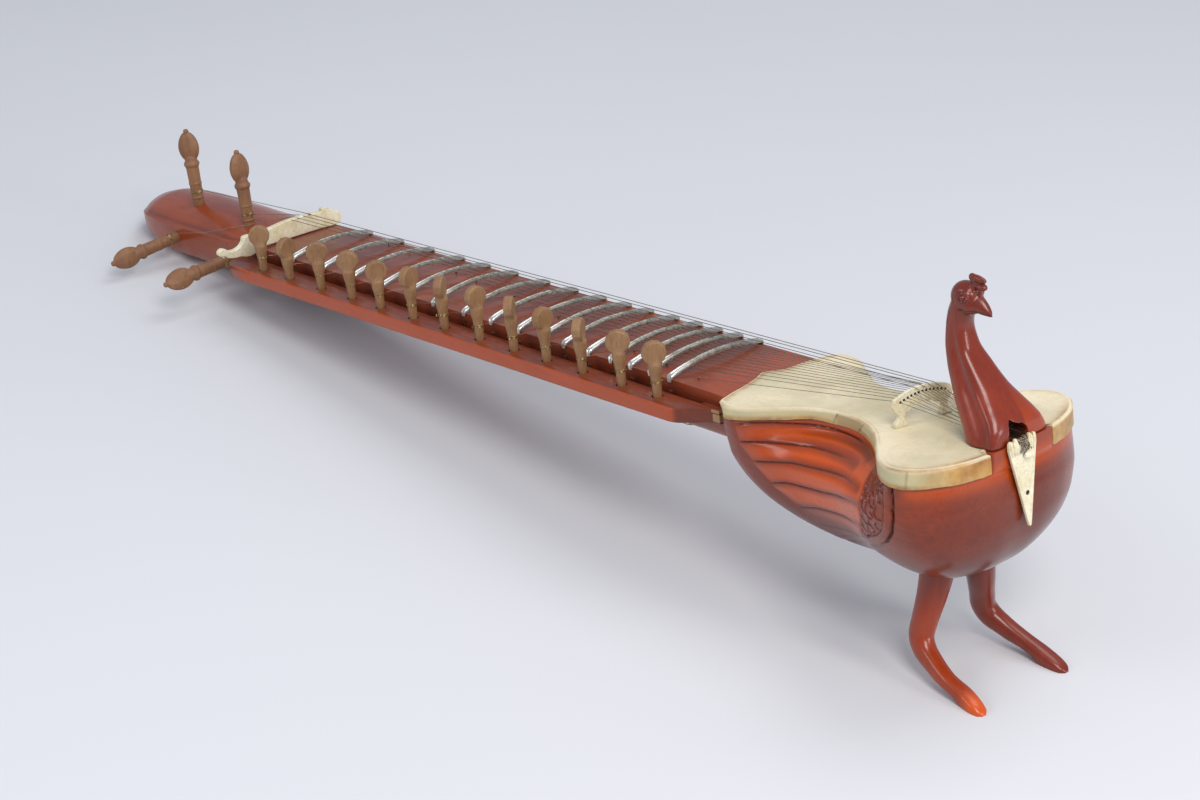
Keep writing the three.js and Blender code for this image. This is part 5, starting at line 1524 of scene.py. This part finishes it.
def along(points, r, name, node):
    P = []
    for a, b in zip(points[:-1], points[1:]):
        a, b = np.array(a, float), np.array(b, float)
        k = max(1, int(np.linalg.norm(b - a) / 30))
        P += [a + (b - a) * t / k for t in range(k)]
    P.append(np.array(points[-1], float))
    V, F = tube(P, r, 8)
    make(name, V, F, WIRE, ROOT, [node])


def tail_at(v):
    return [288.1, v + 0.5, 9.1]


for i, u in enumerate(PEGS):
    (eu, ev), (tu, tv) = LANES[i]
    y = hole_y(i)
    hole = bridge_point(BRIDGE_V + y, BRIDGE_FOOT + float(bridge_arch(y)) - 4.1)
    low = 0.7 + 0.3 + 0.35 + 0.15
    last = 1.05 + 5.6 * (1 - (tv / NECK_HALF) ** 2) - 0.75
    pts = [[u + 1.2, PEG_V + 5.8, 2.1], [eu, ev - 0.2, low + 0.1], [tu - 1, tv - 0.6, low], [tu + 0.8, tv, low]]
    if tu < -8:
        pts.append([3.4, tv, last])
    pts += [hole, [252, hole[1] * 0.5 + 0.4, 12.4 + (i % 2) * 1.4], tail_at((6 - i) * 1.02)]
    along(pts, 0.2, "low_string_%02d_wire" % (i + 1), "low_string_%02d" % (i + 1))

ENDS = {"a": [[-674.2, -8.6, 22.6]], "b": [[-588.2, -11.4, 15.2]],
        "c": [[-673.4, -50.5, -6.6], [-626, -44.4, 0.6]], "d": [[-574.5, -48.5, -6.4], [-566, -43.4, 1.4]]}
for i, key in enumerate("dcba"):
    v, vb = (-6, 0.5, 7, 13)[i], (-11, -5.5, 0, 5.5)[i]
    top = BRIDGE_FOOT + float(bridge_arch(vb - BRIDGE_V)) + 0.3
    t = tail_at([-7.6, -7.9, 7.4, 7.9][i] * 0.96 + (i % 2) * 0.2)
    t[2] = 10.6 + (i % 2) * 1.1
    pts = [*ENDS[key], [NUT_U - NUT_THICK - 0.5, v, 17.3], [NUT_U + 0.5, v, 17.3], bridge_point(vb, top), [252, vb * 0.6 + 1.5, 17.4], t]
    along(pts, 0.27, "main_string_%d_wire" % (i + 1), "main_string_%d" % (i + 1))

# any other solid that still shows gets the carved wood finish
for name, ob in frame["nodes"].items():
    if ob.hide_render:
        continue
    ob.data.materials.clear()
    ob.data.materials.append(WOOD_X)
